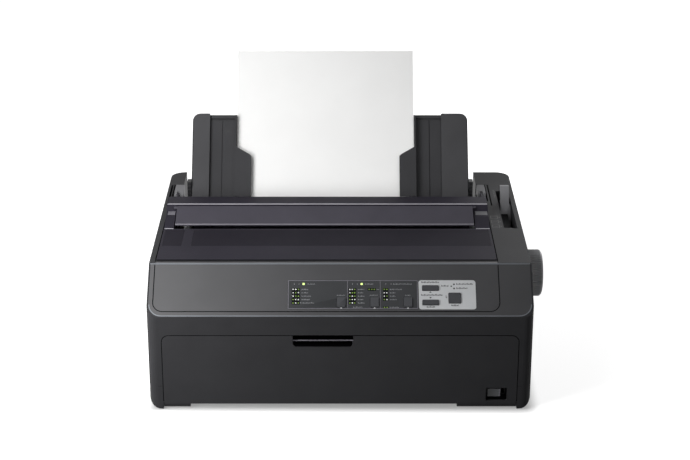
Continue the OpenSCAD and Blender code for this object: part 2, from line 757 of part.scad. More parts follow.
module printer_cover() color("#2a2930") at_origin() {
  x0 = cover_x0 + 0.1;
  x1 = cover_x1 - 0.1;
  difference() {
    union() {
      intersection() {
        cover_skin(x0, x1, 0, cover_t);
        along_z(top_z - 10, ridge_z + 1)
          polygon(round_rect(x0, cover_front_y, x1, cover_back_y, 2, 2, 3, 3));
      }
      // End walls under the raised rear
      for (x = [x0, flap_x1 + 1.2, flap_x0 - 1.2 - 2.4, x1 - 2.4]) {
        along_x(x, x + 2.4) polygon([[ridge_y - 14, cover_z - cover_t], [ridge_y - 12.5, cover_z],
          [ridge_y - 1.5, ridge_z - 0.6 - eps], [ridge_y + 1, ridge_z - eps], [crest_y, ridge_z - 1 - eps],
          [cover_back_y - 0.5, cover_z + 2], [cover_back_y - 0.5, cover_z - cover_t]]);
      }
      // Hinge arms with their pins
      cover_arm(left_arm_x, cover_x0 + 2, ear_x0);
      cover_arm(right_arm_x, ear_x1 + 1.2, pocket_x1 - 1.6);
      // Wedges beside the ends of the flap
      for (x = [[x0 + 0.2, flap_x0 - 1.2 - eps], [flap_x1 + 1.2 + eps, x1 - 0.2]]) {
        along_x(x[0], x[1]) polygon([[window_y1 + 0.5, cover_z - eps], [window_y1 + 24.5, top_z + 6],
          [ridge_y - 3, top_z + 7], [ridge_y - 1.5, ridge_z - 1],
          [ridge_y + 8, ridge_z - 2], [ridge_y + 8, cover_z - eps]]);
      }
      // Rear wall of the paper exit, which turns the paper up and out
      block([frame_x0 + 9, ridge_y - 1.6, cover_z - 17], [frame_x1 - 8, ridge_y + 0.4, cover_z]);
      block([flap_x0 - 1.5, ridge_y - 1.6, cover_z - cover_t - 3],
        [flap_x1 + 1.5, ridge_y + 0.4, ridge_z - 1]);
    }
    // Paper exit under the flap
    block([flap_x0 - 0.8, window_y1 + 0.8, top_z - 10], [flap_x1 + 0.8, ridge_y - 3, ridge_z + 5]);
    block([flap_x0 - 0.8, ridge_y - 4, cover_z], [flap_x1 + 0.8, ridge_y - 1.6, ridge_z + 5]);
    // Seat of the window
    for (w = windows) {
      block([w[0] - 0.1, window_y0 - 0.1, cover_z - 1.2], [w[1] + 0.1, window_y1 - 2.9, cover_z + 1]);
      block([w[0] + 2, window_y0 + 2, cover_z - 4], [w[1] - 2, window_y1 - 5, cover_z + 1]);
    }
    // Bores of the flap's pins
    bar_x(flap_x0 - 4.2, flap_x1 + 4.2, flap_pivot_y, flap_pivot_z, 1.5 + fit);
  }
}

// Window panes: [x0, x1] of each.
windows = [[cover_x0 + 2.5, -174.5], [-164, cover_x1 - 2.5]];

// Hinge arm under the rear end of the cover, with its pin.
module cover_arm(x, pin_x0, pin_x1) {
  along_x(x, x + arm_w) polygon(concat(
    [[cover_back_y - 16, cover_z - cover_t + eps], [cover_back_y - 16, cover_z + 9.2],
      [cover_back_y - 1.5, cover_z + 1.3]],
    arc(cover_pivot_y, cover_pivot_z, 4.6, 90, -90, 8),
    [[cover_back_y - 2, top_z - 7]]));
  bar_x(pin_x0, pin_x1, cover_pivot_y, cover_pivot_z, cover_pin_r);
}

module cover_window() color("#1d1c24") at_origin() {
  for (w = windows) block([w[0], window_y0, cover_z - 1.2], [w[1], window_y1 - 3, cover_z]);
}

module exit_flap() color("#3a3940") at_origin() {
  lip_z = top_z + 3.2;
  along_x(flap_x0, flap_x1) polygon(concat(
    arc(flap_front_y + 1, lip_z - 1.2, 1.2, 90, 270, 4),
    [[flap_front_y + 3, lip_z - flap_t]],
    [[flap_pivot_y - 3, flap_pivot_z - 0.4]],
    arc(flap_pivot_y, flap_pivot_z, 2, 230, 450, 8)));
  bar_x(flap_x0 - 3.8, flap_x1 + 3.8, flap_pivot_y, flap_pivot_z, 1.5);
}

// Posts on the case that hold the pins of the top cover.
module cover_hinge_posts() color("#4a4a4c") at_origin() {
  hinge_post(cover_x0 + 1.4, ear_x0 + 1.3, left_arm_x);
  hinge_post(ear_x1 + 0.8, pocket_x1 - 1, right_arm_x);
}

// Fork that holds an arm of the top cover.
module hinge_post(x0, x1, arm_x) {
  difference() {
    along_x(x0, x1) polygon(concat(
      [[pocket_y, pocket_z], [pocket_y, top_z]],
      arc(cover_pivot_y, cover_pivot_z, 5, 90, 180, 6),
      [[cover_pivot_y - 5, pocket_z]]));
    block([arm_x - air, cover_pivot_y - 6, pocket_z - 1],
      [arm_x + arm_w + air, cover_pivot_y + 6.2, top_z + 1]);
    bar_x(x0 - 1, x1 + 1, cover_pivot_y, cover_pivot_z, cover_pin_r + fit);
  }
}

// ---------- paper guide and sheet ----------

hood_low = 14;   // lower end of the guide, under the level of the side walls

module paper_guide() color("#3c3c3e") at_origin() {
  back0 = -slide_t - 0.3;
  hoods = [[guide_x0, guide_x0 + left_hood_w, 0, 1], [guide_x1 - right_hood_w, guide_x1, 1, 0]];
  difference() {
    union() {
      // Back panel, full width below and behind the hoods above
      on_guide(0, 0, back0 - guide_back) linear_extrude(guide_back) {
        polygon(round_rect(guide_x0, -hood_low, guide_x1, cross_l, 2, 2, 2, 2));
        polygon(round_rect(guide_x0, 0, plate_x0[1] + 8, hood_l, 1, 1, 3, 9));
        polygon(round_rect(plate_x1[0] - 8, 0, guide_x1, hood_l, 1, 1, 9, 3));
      }
      // Hoods over the outer ends of the sliding plates
      for (h = hoods) {
        on_guide(0, 0, back0 - eps) linear_extrude(hood_rise - back0)
          polygon(round_rect(h[0], -4, h[1], hood_l, 1, 1, h[2] == 1 ? 9 : 1, h[3] == 1 ? 9 : 1));
      }
      // Ribs that carry the paper
      for (k = [0:5]) {
        on_guide(relief_x(k) - 5.5, 2 - hood_low, back0 - eps)
          cube([3, cross_l + hood_low - 4, paper_lift - 0.1 - back0]);
      }
      // Hinge ears
      for (x = [guide_x0, guide_x1 - 4]) {
        along_x(x, x + 4) polygon(concat(arc(guide_pivot_y, guide_pivot_z, 6, 200, 350, 8),
          [[guide_pivot_y + 12, guide_pivot_z + 16], [guide_pivot_y + 3, guide_pivot_z + 14]]));
      }
      bar_x(guide_x0 - 4.5, guide_x0 + 1, guide_pivot_y, guide_pivot_z, guide_pin_r);
      bar_x(guide_x1 - 1, guide_x1 + 5, guide_pivot_y, guide_pivot_z, guide_pin_r);
    }
    // Hollow of the hoods, where the plates slide out
    for (h = hoods) {
      on_guide(0, 0, back0) linear_extrude(slide_t + 2.2)
        polygon(round_rect(h[0] + (h[3] == 1 ? 1.6 : -1), -5, h[1] + (h[3] == 1 ? 1 : -1.6), plate_l + 0.4,
          0.5, 0.5, 0.5, 0.5));
    }
    // Relief of the cross panel
    for (k = [0:4]) {
      on_guide(0, 0, back0 - guide_back - 1) linear_extrude(guide_back + 2)
        polygon(round_rect(relief_x(k), 8, relief_x(k) + relief_w, cross_l - 12, 4, 4, 4, 4));
    }
  }
}

relief_w = paper_w / 7;
relief_gap = relief_w * 4 / 15;
relief_x0 = (paper_x0 + paper_x1) / 2 - 2.5 * relief_w - 2 * relief_gap;
function relief_x(k) = relief_x0 + k * (relief_w + relief_gap);

// Sliding plates of the edge guides: [outer x, wall x].
plate_x0 = [guide_x0 + left_hood_w - 3, paper_x0 - 0.4];
plate_x1 = [paper_x1 + 0.5, guide_x1 - right_hood_w + 4];
edge_wall = 1.6;

// An edge guide: plate, upright wall beside the paper, and flange over the paper's edge.
// side is 1 where the paper lies towards +X.
module edge_guide(x_outer, x_wall, side) {
  x0 = min(x_outer, x_wall);
  x1 = max(x_outer, x_wall);
  difference() {
    union() {
      on_guide(0, 0, -slide_t) linear_extrude(slide_t) polygon(round_rect(x0, -3, x1, plate_l, 1, 1, 1, 1));
      // Raised bar along the top
      on_guide(0, 0, -eps) linear_extrude(1.2)
        polygon(round_rect(x0, plate_l - 3.4, x1, plate_l, 0.4, 0.4, 0.4, 0.4));
    }
    // Grooves under the bar and down the plate
    on_guide(x0 - 1, plate_l - 5.2, -0.8) linear_extrude(1) square([x1 - x0 + 2, 1.8]);
    on_guide(x_wall - side * 17.4, -4, -0.8) linear_extrude(1) square([1, plate_l - 1]);
  }
  on_guide(0, 0, -slide_t) linear_extrude(slide_t + flange_rise + 1.2)
    polygon([[x_wall - side * edge_wall, -3], [x_wall, -3],
      [x_wall, plate_l], [x_wall - side * edge_wall, plate_l - 2]]);
  on_guide(0, 0, flange_rise) linear_extrude(1.2)
    polygon([[x_wall - side * edge_wall, -1], [x_wall + side * flange_w, -1],
      [x_wall + side * flange_w, flange_l - 11.5], [x_wall + side * (flange_w - 2), flange_l - 9.4],
      [x_wall, flange_l], [x_wall - side * edge_wall, flange_l]]);
}

module left_edge_guide() color("#4b4b4d") at_origin() edge_guide(plate_x0[0], plate_x0[1], 1);
module right_edge_guide() color("#4b4b4d") at_origin() edge_guide(plate_x1[1], plate_x1[0], -1);

module paper_sheet() color("#ececec") at_origin() {
  on_guide(paper_x0, paper_end_l, paper_lift) cube([paper_w, paper_len, paper_t]);
}

// ---------- frame ----------

base_z = 12;
frame_y0 = 30;
frame_y1 = board_y0 - 6;

module base_frame() color("#9a9da0") at_origin() {
  difference() {
    union() {
      block([frame_x0, frame_y0, base_z], [frame_x1, frame_y1, base_z + base_t]);
      // Upturned front and rear flanges
      block([frame_x0, frame_y0, base_z + base_t - eps], [frame_x1, frame_y0 + base_t, base_z + 12]);
      block([frame_x0, frame_y1 - base_t, base_z + base_t - eps], [frame_x1, frame_y1, base_z + 12]);
    }
    for (x = [-120, -40, 50]) {
      block([x, frame_y0 + 40, base_z - 1], [x + 60, frame_y1 - 40, base_z + base_t + 1]);
    }
  }
}

// Side view of the side frames.
module side_frame_outline() {
  difference() {
    polygon([[34, base_z + base_t], [34, 84], [56, 126], [94, 138], [118, 132], [140, 138], [170, 138],
      [236, 132], [246, 149], [266, 149], [274, 141], [tractor_y + 12, 130], [tractor_y + 14, 60],
      [tractor_y - 20, 36], [frame_y1 - 2, 36], [frame_y1 - 2, base_z + base_t]]);
    translate([64, 30]) square([60, 26]);
    translate([60, 98]) square([16, 16]);
    translate([200, 56]) square([62, 30]);
  }
}

module side_frame(x0) {
  difference() {
    along_x(x0, x0 + frame_t) side_frame_outline();
    bar_x(x0 - 1, x0 + frame_t + 1, platen_y, platen_z, shaft_r + fit);
    bar_x(x0 - 1, x0 + frame_t + 1, rail_y, rail_z, rail_r + fit);
    bar_x(x0 - 1, x0 + frame_t + 1, guide_pivot_y, guide_pivot_z, guide_pin_r + fit);
    bar_x(x0 - 1, x0 + frame_t + 1, tractor_y, platen_z, shaft_r + fit);
    bar_x(x0 - 1, x0 + frame_t + 1, tractor_y - 22, platen_z - 22, 3 + fit);
    children();
  }
}

module left_side_frame() color("#9a9da0") at_origin() {
  side_frame(frame_x0) {
    bar_x(frame_x0 - 1, frame_x0 + frame_t + 1, idler_y[0], pinion_z, 11 + fit);
  }
  for (y = idler_y) bar_x(gear_x - 0.4, frame_x0 + eps, y, platen_z, 3);
}

module right_side_frame() color("#9a9da0") at_origin() {
  side_frame(inner_x1);
  // Pivot stud of the release lever, on a stand-off that reaches the lever
  bar_x(frame_x1 - eps, lever_x1 - lever_arm_t - air, lever_pivot_y, lever_pivot_z, 5);
  bar_x(lever_x1 - lever_arm_t - air - eps, lever_x1 + 0.6, lever_pivot_y, lever_pivot_z, 3);
}

pan_r = 62;
pan_y = 142;
pan_z = 100;

module paper_pan() color("#55585a") at_origin() {
  along_x(inner_x0, inner_x1)
    polygon(concat(arc(pan_y, pan_z, pan_r, -40, -132, 14), arc(pan_y, pan_z, pan_r + 1.4, -132, -40, 14)));
}

// ---------- platen and gears ----------

module platen_roller() color("#1f1f20") at_origin() difference() {
  bar_x(inner_x0 + 8, inner_x1 - 6, platen_y, platen_z, platen_r);
  bar_x(inner_x0 + 7, inner_x1 - 5, platen_y, platen_z, shaft_r);
}

module platen_shaft() color("#c4c6c8") at_origin()
  bar_x(gear_x - 1, knob_x0 + 8, platen_y, platen_z, shaft_r);

// Finely ribbed knob with a rounded face and a bore for the shaft.
module platen_knob() color("#59595b") at_origin() {
  ribs = 60;
  difference() {
    intersection() {
      translate([knob_x0, platen_y, platen_z]) rotate([0, 90, 0]) linear_extrude(knob_len) polygon(
        [for (k = [0:ribs - 1]) for (j = [0, 1, 2, 3])
          (knob_r - (j < 2 ? 0 : 0.6)) * [cos((k + j / 4) * 360 / ribs), sin((k + j / 4) * 360 / ribs)]]);
      translate([knob_x0, platen_y, platen_z]) rotate([0, 90, 0]) rotate_extrude($fn = 96)
        polygon(concat([[0, 0], [knob_r - 1, 0], [knob_r + 0.5, 1]],
          arc(knob_r - 5, knob_len - 6.2, 5.5, 0, 78, 8),
          [[0, knob_len]]));
    }
    bar_x(knob_x0 - 1, knob_x0 + 8, platen_y, platen_z, shaft_r);
  }
}

// Angle of the first tooth of a gear that meshes with another at direction d from that gear.
function mesh_phase(first, teeth, next_teeth, d) =
  d + 180 - (360 / next_teeth) * (0.5 - (d - first) * teeth / 360);

phase_platen = 0;
phase_1 = mesh_phase(phase_platen, platen_teeth, idler_teeth, 0);
phase_2 = mesh_phase(phase_1, idler_teeth, idler_teeth, 0);
phase_3 = mesh_phase(phase_2, idler_teeth, idler_teeth, 0);
phase_tractor = mesh_phase(phase_3, idler_teeth, tractor_teeth, 0);
phase_pinion = mesh_phase(phase_1, idler_teeth, pinion_teeth, -90);

// Outline of a spur gear: each tooth has a root, two flanks that curve in, and a flat tip.
function gear_points(teeth, first) = [
  for (k = [0:teeth - 1])
    for (p = [[-0.29, -1.2], [-0.225, 0], [-0.12, 0.85], [0.12, 0.85], [0.225, 0], [0.29, -1.2]])
      let (a = first + (k + p[0]) * 360 / teeth, r = (teeth / 2 + p[1]) * tooth_module)
        [r * cos(a), r * sin(a)]];

// Spur gear on the gear plane, with a bore, and a web thinned between rim and hub where there is room.
module spur_gear(y, z, teeth, first, bore) {
  rim = teeth * tooth_module / 2 - 4;
  difference() {
    translate([gear_x, y, z]) rotate([90, 0, 90]) linear_extrude(gear_w) polygon(gear_points(teeth, first));
    bar_x(gear_x - 1, gear_x + gear_w + 1, y, z, bore);
    if (rim > 10) {
      difference() {
        bar_x(gear_x - 1, gear_x + 1.6, y, z, rim);
        bar_x(gear_x - 2, gear_x + 3, y, z, 7);
      }
    }
  }
}

module platen_gear() color("#d8d6cc") at_origin()
  spur_gear(platen_y, platen_z, platen_teeth, phase_platen, shaft_r);
module idler_gear_1() color("#e4e2da") at_origin()
  spur_gear(idler_y[0], platen_z, idler_teeth, phase_1, 3 + fit);
module idler_gear_2() color("#e4e2da") at_origin()
  spur_gear(idler_y[1], platen_z, idler_teeth, phase_2, 3 + fit);
module idler_gear_3() color("#e4e2da") at_origin()
  spur_gear(idler_y[2], platen_z, idler_teeth, phase_3, 3 + fit);
module tractor_gear() color("#d8d6cc") at_origin()
  spur_gear(tractor_y, platen_z, tractor_teeth, phase_tractor, shaft_r);
module feed_pinion() color("#b9a45c") at_origin()
  spur_gear(idler_y[0], pinion_z, pinion_teeth, phase_pinion, 2.5 + fit);

module feed_motor() color("#6b6e70") at_origin() {
  intersection() {
    along_x(inner_x0, inner_x0 + 33) translate([idler_y[0] - 21, pinion_z - 21]) square(42);
    bar_x(inner_x0, inner_x0 + 33, idler_y[0], pinion_z, 26.5);
  }
  bar_x(frame_x0, inner_x0 + eps, idler_y[0], pinion_z, 11);
  bar_x(gear_x - 0.5, frame_x0 + eps, idler_y[0], pinion_z, 2.5);
}

// ---------- carriage ----------

module carriage_rail() color("#c9cbcd") at_origin()
  bar_x(frame_x0 - 1, frame_x1 + 1, rail_y, rail_z, rail_r);

guide_rail_z = 72;

// Front rail, with the bracket and axle of the idle belt pulley.
module guide_rail() color("#9a9da0") at_origin() {
  along_x(inner_x0, inner_x1)
    polygon([[50, bracket_z], [51.6, bracket_z], [51.6, guide_rail_z - 1.6],
      [62, guide_rail_z - 1.6], [62, guide_rail_z], [50, guide_rail_z]]);
  block([idler_x - 12, belt_y - 10, bracket_z - 2], [inner_x1, 60, bracket_z + eps]);
  bar_z(idler_x, belt_y, bracket_z - eps, belt_z0 + belt_h + 1.4, 2);
}

bracket_z = guide_rail_z - 10;

module carriage() color("#333538") at_origin() {
  x0 = park_x - carriage_w / 2;
  x1 = park_x + carriage_w / 2;
  difference() {
    union() {
      along_x(x0, x1) polygon([[57, guide_rail_z + 0.3], [61, guide_rail_z + 0.3], [62, rail_z - 8],
        [rail_y + 8, rail_z - 8], [rail_y + 10, rail_z - 4], [rail_y + 10, head_z - 14],
        [57, head_z - 14]]);
      // Clamp round the belt
      block([park_x - 9, belt_y + 4, belt_z0 - 2.5], [park_x + 9, 57 + eps, belt_z0 + belt_h + 2.5]);
    }
    bar_x(x0 - 1, x1 + 1, rail_y, rail_z, rail_r + fit);
    block([park_x - 10, belt_y + pulley_r - air, belt_z0 - air],
      [park_x + 10, belt_y + pulley_r + belt_t + air, belt_z0 + belt_h + air]);
  }
}

// Print head: finned body, nose towards the platen.
module print_head() color("#7c8084") at_origin() {
  fin_t = 1.6;
  z0 = head_z - 14;
  along_x(park_x - 17, park_x + 17) polygon([[66, z0], [88, z0], [90, z0 + 6], [90, head_z + 10],
    [66, head_z + 10]]);
  for (k = [0:8]) {
    x = park_x - 17 + k * 4.05;
    block([x, 59, z0 + 2], [x + fin_t, 66 + eps, head_z + 15]);
  }
  along_x(park_x - 9, park_x + 9) polygon([[90 - eps, head_z - 9], [96.4, head_z - 5], [98.3, head_z - 5],
    [98.3, head_z + 5], [96.4, head_z + 5], [90 - eps, head_z + 9]]);
}

cart_z0 = 127.5;
cart_z1 = 139.5;
cart_x0 = inner_x0 + 7;
cart_x1 = inner_x1 - 7;
ribbon_y = platen_y - platen_r - 2.6;

module ribbon_cartridge() color("#242426") at_origin() {
  difference() {
    along_z(cart_z0, cart_z1) polygon(round_rect(cart_x0, 62, cart_x1, 86, 4, 4, 4, 4));
    bar_z(knob2_x, 74, cart_z1 - 7, cart_z1 + 1, 2.5 + fit);
  }
  // Arms that hold the ribbon in front of the platen
  for (x = [cart_x0, cart_x1 - 6]) {
    along_x(x, x + 6) polygon([[78, cart_z0 + eps], [86, cart_z0 + eps],
      [ribbon_y, head_z + 9], [ribbon_y, head_z - 9],
      [94, head_z - 9], [92, head_z]]);
  }
  // Hooks that clip over the side frames' inner faces
  block([inner_x0, 66, cart_z0 + 2], [cart_x0 + eps, 80, cart_z0 + 8]);
  block([cart_x1 - eps, 66, cart_z0 + 2], [inner_x1, 80, cart_z0 + 8]);
}

module ink_ribbon() color("#101012") at_origin()
  block([cart_x0 + 1, ribbon_y, head_z - 6.5], [cart_x1 - 1, ribbon_y + 0.3, head_z + 6.5]);

knob2_x = cart_x0 + 18;

module ribbon_knob() color("#3d3d40") at_origin() {
  lobes = 12;
  translate([knob2_x, 74, cart_z1 + 0.3]) linear_extrude(4.4)
    polygon([for (k = [0:lobes * 4 - 1])
      (7.6 + 0.5 * cos(k * 90)) * [cos(k * 90 / lobes), sin(k * 90 / lobes)]]);
  bar_z(knob2_x, 74, cart_z1 - 6, cart_z1 + 0.3 + eps, 2.5);
}

module carriage_belt() color("#17171a") at_origin() along_z(belt_z0, belt_z0 + belt_h) difference() {
  belt_loop(pulley_r + belt_t);
  belt_loop(pulley_r + 0.1);
}

// Outline of the belt at distance r from the line between the pulleys.
module belt_loop(r) {
  polygon(concat(arc(drive_x, belt_y, r, 90, 270, 16), arc(idler_x, belt_y, r, -90, 90, 16)));
}

// Pulley on an upright axle, flanged above and below the belt.
module pulley(x, bore) {
  difference() {
    union() {
      bar_z(x, belt_y, belt_z0 - 1.4, belt_z0 + belt_h + 1.4, pulley_r - 0.1);
      bar_z(x, belt_y, belt_z0 - 1.4, belt_z0 - 0.4, pulley_r + 1.6);
      bar_z(x, belt_y, belt_z0 + belt_h + 0.4, belt_z0 + belt_h + 1.4, pulley_r + 1.6);
    }
    bar_z(x, belt_y, belt_z0 - 2, belt_z0 + belt_h + 2, bore);
  }
}

module drive_pulley() color("#d0cec4") at_origin() pulley(drive_x, 2.5 + fit);

module idler_pulley() color("#d0cec4") at_origin() pulley(idler_x, 2 + fit);

// Motor under the drive pulley, hung from its bracket.
module carriage_motor() color("#6b6e70") at_origin() {
  bar_z(drive_x + 7, belt_y, bracket_z - 34, bracket_z - 2 + eps, 15);
  bar_z(drive_x, belt_y, bracket_z - 2, belt_z0 + belt_h + 1.4, 2.5);
  block([inner_x0, belt_y - 12, bracket_z - 2], [drive_x + 24, 62, bracket_z]);
}

// ---------- tractor ----------

tractor_w = 20;
left_tractor_x = inner_x0 + 9;
right_tractor_x = inner_x1 - 9 - tractor_w;

module tractor_shaft() color("#c4c6c8") at_origin() {
  bar_x(gear_x - 1, inner_x0 + 6, tractor_y, platen_z, shaft_r);
  block([inner_x0 + 6 - eps, tractor_y - 3, platen_z - 3],
    [inner_x1 - 4 + eps, tractor_y + 3, platen_z + 3]);
  bar_x(inner_x1 - 4, frame_x1 + 2, tractor_y, platen_z, shaft_r);
}

module tractor_rod() color("#c4c6c8") at_origin()
  bar_x(frame_x0, frame_x1, tractor_y - 22, platen_z - 22, 3);

// A tractor: body round the shafts, clamp lid over the pin belt, and the pins that take punched paper.
module tractor(x) {
  difference() {
    union() {
      along_x(x, x + tractor_w) polygon(concat(
        arc(tractor_y, platen_z, 15, -60, 70, 8),
        [[tractor_y - 30, platen_z + 26]],
        arc(tractor_y - 36, platen_z + 10, 12, 100, 200, 6),
        [[tractor_y - 34, platen_z - 28], [tractor_y - 14, platen_z - 30]]));
      for (k = [0:2]) {
        translate([x + tractor_w / 2, tractor_y - 27 + k * 12.7, platen_z + 25.2 - k * 4.6])
          cylinder(h = 3, r1 = 1.8, r2 = 1, $fn = 24);
      }
    }
    bar_x(x - 1, x + tractor_w + 1, tractor_y, platen_z, 4.7);
    bar_x(x - 1, x + tractor_w + 1, tractor_y - 22, platen_z - 22, 3 + fit);
  }
}

module left_tractor() color("#2f3032") at_origin() tractor(left_tractor_x);
module right_tractor() color("#2f3032") at_origin() tractor(right_tractor_x);

// ---------- lever ----------

module release_lever() color("#77787a") at_origin() {
  foot_z = recess_z + 1.5;
  set_back = lever_h * tan(lever_lean);
  difference() {
    union() {
      // Arm that goes down through the slit
      along_x(lever_x1 - lever_arm_t, lever_x1) polygon(concat(
        arc(lever_pivot_y, lever_pivot_z, 7, 130, 330, 8),
        [[lever_y + lever_d, foot_z], [lever_y + lever_d + 5, foot_z + 9], [lever_y + 5, foot_z + 9],
          [lever_y, foot_z]]));
      // Thumb plate
      along_x(lever_x0, lever_x1 - 1.6) polygon([[lever_y, foot_z], [lever_y + lever_d, foot_z],
        [lever_y + set_back + lever_d, foot_z + lever_h - 1], [lever_y + set_back, foot_z + lever_h]]);
    }
    bar_x(lever_x1 - lever_arm_t - 1, lever_x1 + 1, lever_pivot_y, lever_pivot_z, 3 + fit);
  }
}

// ---------- electronics ----------

module main_board() color("#1e5b3a") at_origin() {
  block([-50, board_y0, board_z], [130, board_y1, board_z + board_t]);
  for (c = [[-20, 24, 34, 34, 3], [40, 20, 22, 14, 2.4], [78, 26, 30, 12, 3], [30, 56, 14, 10, 2]]) {
    translate([c[0], board_y0 + c[1], board_z + board_t - eps]) cube([c[2], c[3], c[4]]);
  }
}

module power_board() color("#6b5a2c") at_origin() {
  block([-170, board_y0, board_z], [-62, board_y1, board_z + board_t]);
  translate([-150, board_y0 + 20, board_z + board_t - eps]) cube([34, 30, 26]);
  for (p = [[-100, 30], [-100, 54], [-78, 34]]) {
    bar_z(p[0], board_y0 + p[1], board_z + board_t - eps, board_z + 26, 8);
  }
  translate([-98, board_y0 + 74, board_z + board_t - eps]) cube([30, 4, 24]);
}

inlet_x = -148;
inlet_z = 48;

// Outline of the appliance inlet, grown by g.
module inlet_form(g, y0, y1) {
  along_y(y0, y1) polygon([[inlet_x - 13.5 - g, inlet_z - 9.5 - g], [inlet_x + 13.5 + g, inlet_z - 9.5 - g],
    [inlet_x + 13.5 + g, inlet_z + 4], [inlet_x + 8, inlet_z + 9.5 + g], [inlet_x - 8, inlet_z + 9.5 + g],
    [inlet_x - 13.5 - g, inlet_z + 4]]);
}

module ac_inlet() color("#1a1a1b") at_origin() {
  difference() {
    union() {
      inlet_form(0, body_d - 22, body_d + socket_lip);
      block([inlet_x - 17, body_d - wall - 2, inlet_z - 12], [inlet_x + 17, body_d - wall, inlet_z + 12]);
      block([inlet_x - 10, body_d - 22, board_z + board_t], [inlet_x + 10, body_d - 12, inlet_z - 9]);
    }
    inlet_form(-2.4, body_d - 16, body_d + 1);
  }
  for (x = [-7, 0, 7]) block([inlet_x + x - 1, body_d - 16 - eps, inlet_z - (x == 0 ? -1 : 3)],
    [inlet_x + x + 1, body_d - 2, inlet_z + (x == 0 ? 5 : 1)]);
}

// Sockets of the interface, grown by g: a wide ribbon-contact socket and a square serial socket.
module port_forms(g, y0, y1) {
  block([40 - g, y0, 34 - g], [94 + g, y1, 46 + g]);
  block([108 - g, y0, 33 - g], [120.4 + g, y1, 44 + g]);
}

module interface_ports() color("#8d9092") at_origin() {
  difference() {
    union() {
      port_forms(0, body_d - 22, body_d + socket_lip);
      block([40, body_d - 22, board_z + board_t], [94, body_d - 12, 35]);
      block([108, body_d - 22, board_z + board_t], [120.4, body_d - 12, 34]);
    }
    port_forms(-1.6, body_d - 14, body_d + 1);
  }
  block([46, body_d - 14 - eps, 38.5], [88, body_d - 2, 41.5]);
  block([111, body_d - 14 - eps, 36.5], [117.4, body_d - 2, 39.5]);
}

lower_case();
upper_case();
rubber_feet();
case_screws();
front_cover();
control_panel();
status_overlay();
command_overlay();
panel_board();
indicator_leds();
font_button();
pitch_button();
tear_off_button();
load_eject_button();
line_feed_button();
pause_button();
power_switch();
power_rocker();
printer_cover();
cover_window();
exit_flap();
cover_hinge_posts();
paper_guide();
left_edge_guide();
right_edge_guide();
paper_sheet();
base_frame();
left_side_frame();
right_side_frame();
paper_pan();
platen_roller();
platen_shaft();
platen_knob();
platen_gear();
idler_gear_1();
idler_gear_2();
idler_gear_3();
feed_pinion();
feed_motor();
carriage_rail();
guide_rail();
carriage();
print_head();
ribbon_cartridge();
ink_ribbon();
ribbon_knob();
carriage_belt();
drive_pulley();
idler_pulley();
carriage_motor();
tractor_shaft();
tractor_gear();
tractor_rod();
left_tractor();
right_tractor();
release_lever();
main_board();
power_board();
ac_inlet();
interface_ports();
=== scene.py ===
"""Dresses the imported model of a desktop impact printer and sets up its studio.

Sizes are in millimetres in the drawing's frame: X to the right from the middle of the case, Y to the rear
from its front face, Z up from the surface under the feet. place() turns them into the row frame, in metres.
"""

import logging
import math
from dataclasses import dataclass, field
from enum import Enum
from typing import Iterable, Sequence

import bpy
from mathutils import Euler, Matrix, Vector


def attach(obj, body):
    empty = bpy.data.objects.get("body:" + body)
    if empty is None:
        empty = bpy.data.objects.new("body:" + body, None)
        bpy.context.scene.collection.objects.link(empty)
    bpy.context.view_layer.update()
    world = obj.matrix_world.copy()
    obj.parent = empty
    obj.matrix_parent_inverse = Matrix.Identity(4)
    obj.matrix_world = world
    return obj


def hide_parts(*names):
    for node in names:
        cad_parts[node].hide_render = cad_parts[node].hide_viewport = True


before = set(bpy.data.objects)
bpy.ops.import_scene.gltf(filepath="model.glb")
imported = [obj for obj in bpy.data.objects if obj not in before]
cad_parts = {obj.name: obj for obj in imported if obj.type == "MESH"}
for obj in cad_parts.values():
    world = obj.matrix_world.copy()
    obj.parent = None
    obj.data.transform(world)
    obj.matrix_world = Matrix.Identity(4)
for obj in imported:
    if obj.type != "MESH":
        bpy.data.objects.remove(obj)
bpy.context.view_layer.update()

LOG = logging.getLogger("scene")

MM = 0.001
# The row frame's origin, seen from the drawing's.
ORIGIN_X = 10.0
ORIGIN_Y = 178.3267
# The level of the side walls, and the slope of the panel from the front wall up to it.
TOP_Z = 150.0
FRONT_H = 109.5
SLOPE_D = 50.0
# Where the paper guide's plane meets the level of the side walls, and its lean from upright in degrees.
GUIDE_Y = 250.0
GUIDE_LEAN = 36.0

Point = tuple[float, float]
Rect = tuple[float, float, float, float]
Disc = tuple[float, float, float]
Word = tuple[float, float, int]
Tree = bpy.types.NodeTree
Socket = bpy.types.NodeSocket


def place(x: float, y: float, z: float) -> Vector:
    """Turns a point of the drawing's frame, in mm, into the row frame, in metres."""
    return Vector(((x - ORIGIN_X) * MM, (y - ORIGIN_Y) * MM, z * MM))


def linear(hex_colour: str) -> tuple[float, float, float, float]:
    """Turns an sRGB hex colour into a linear one.

    Args:
        hex_colour: Six hex digits.

    Returns:
        Red, green, blue and alpha.
    """
    channels = [int(hex_colour[i : i + 2], 16) / 255 for i in (0, 2, 4)]
    parts = [c / 12.92 if c <= 0.04045 else ((c + 0.055) / 1.055) ** 2.4 for c in channels]
    return (parts[0], parts[1], parts[2], 1.0)


# ---------- materials ----------


MADE: dict[str, bpy.types.Material] = {}
# Height of the grain, how far the roughness strays from its middle, and the least that it gets to.
GRAIN_DEPTH = 0.05 * MM
GLOSS_SPREAD = 0.05
LEAST_ROUGHNESS = 0.02
# Where the mottle's dark and light ends lie in the noise.
MOTTLE_ENDS = (0.3, 0.7)
CLOUD_DETAIL = 3.0
GRAIN_DETAIL = 2.0


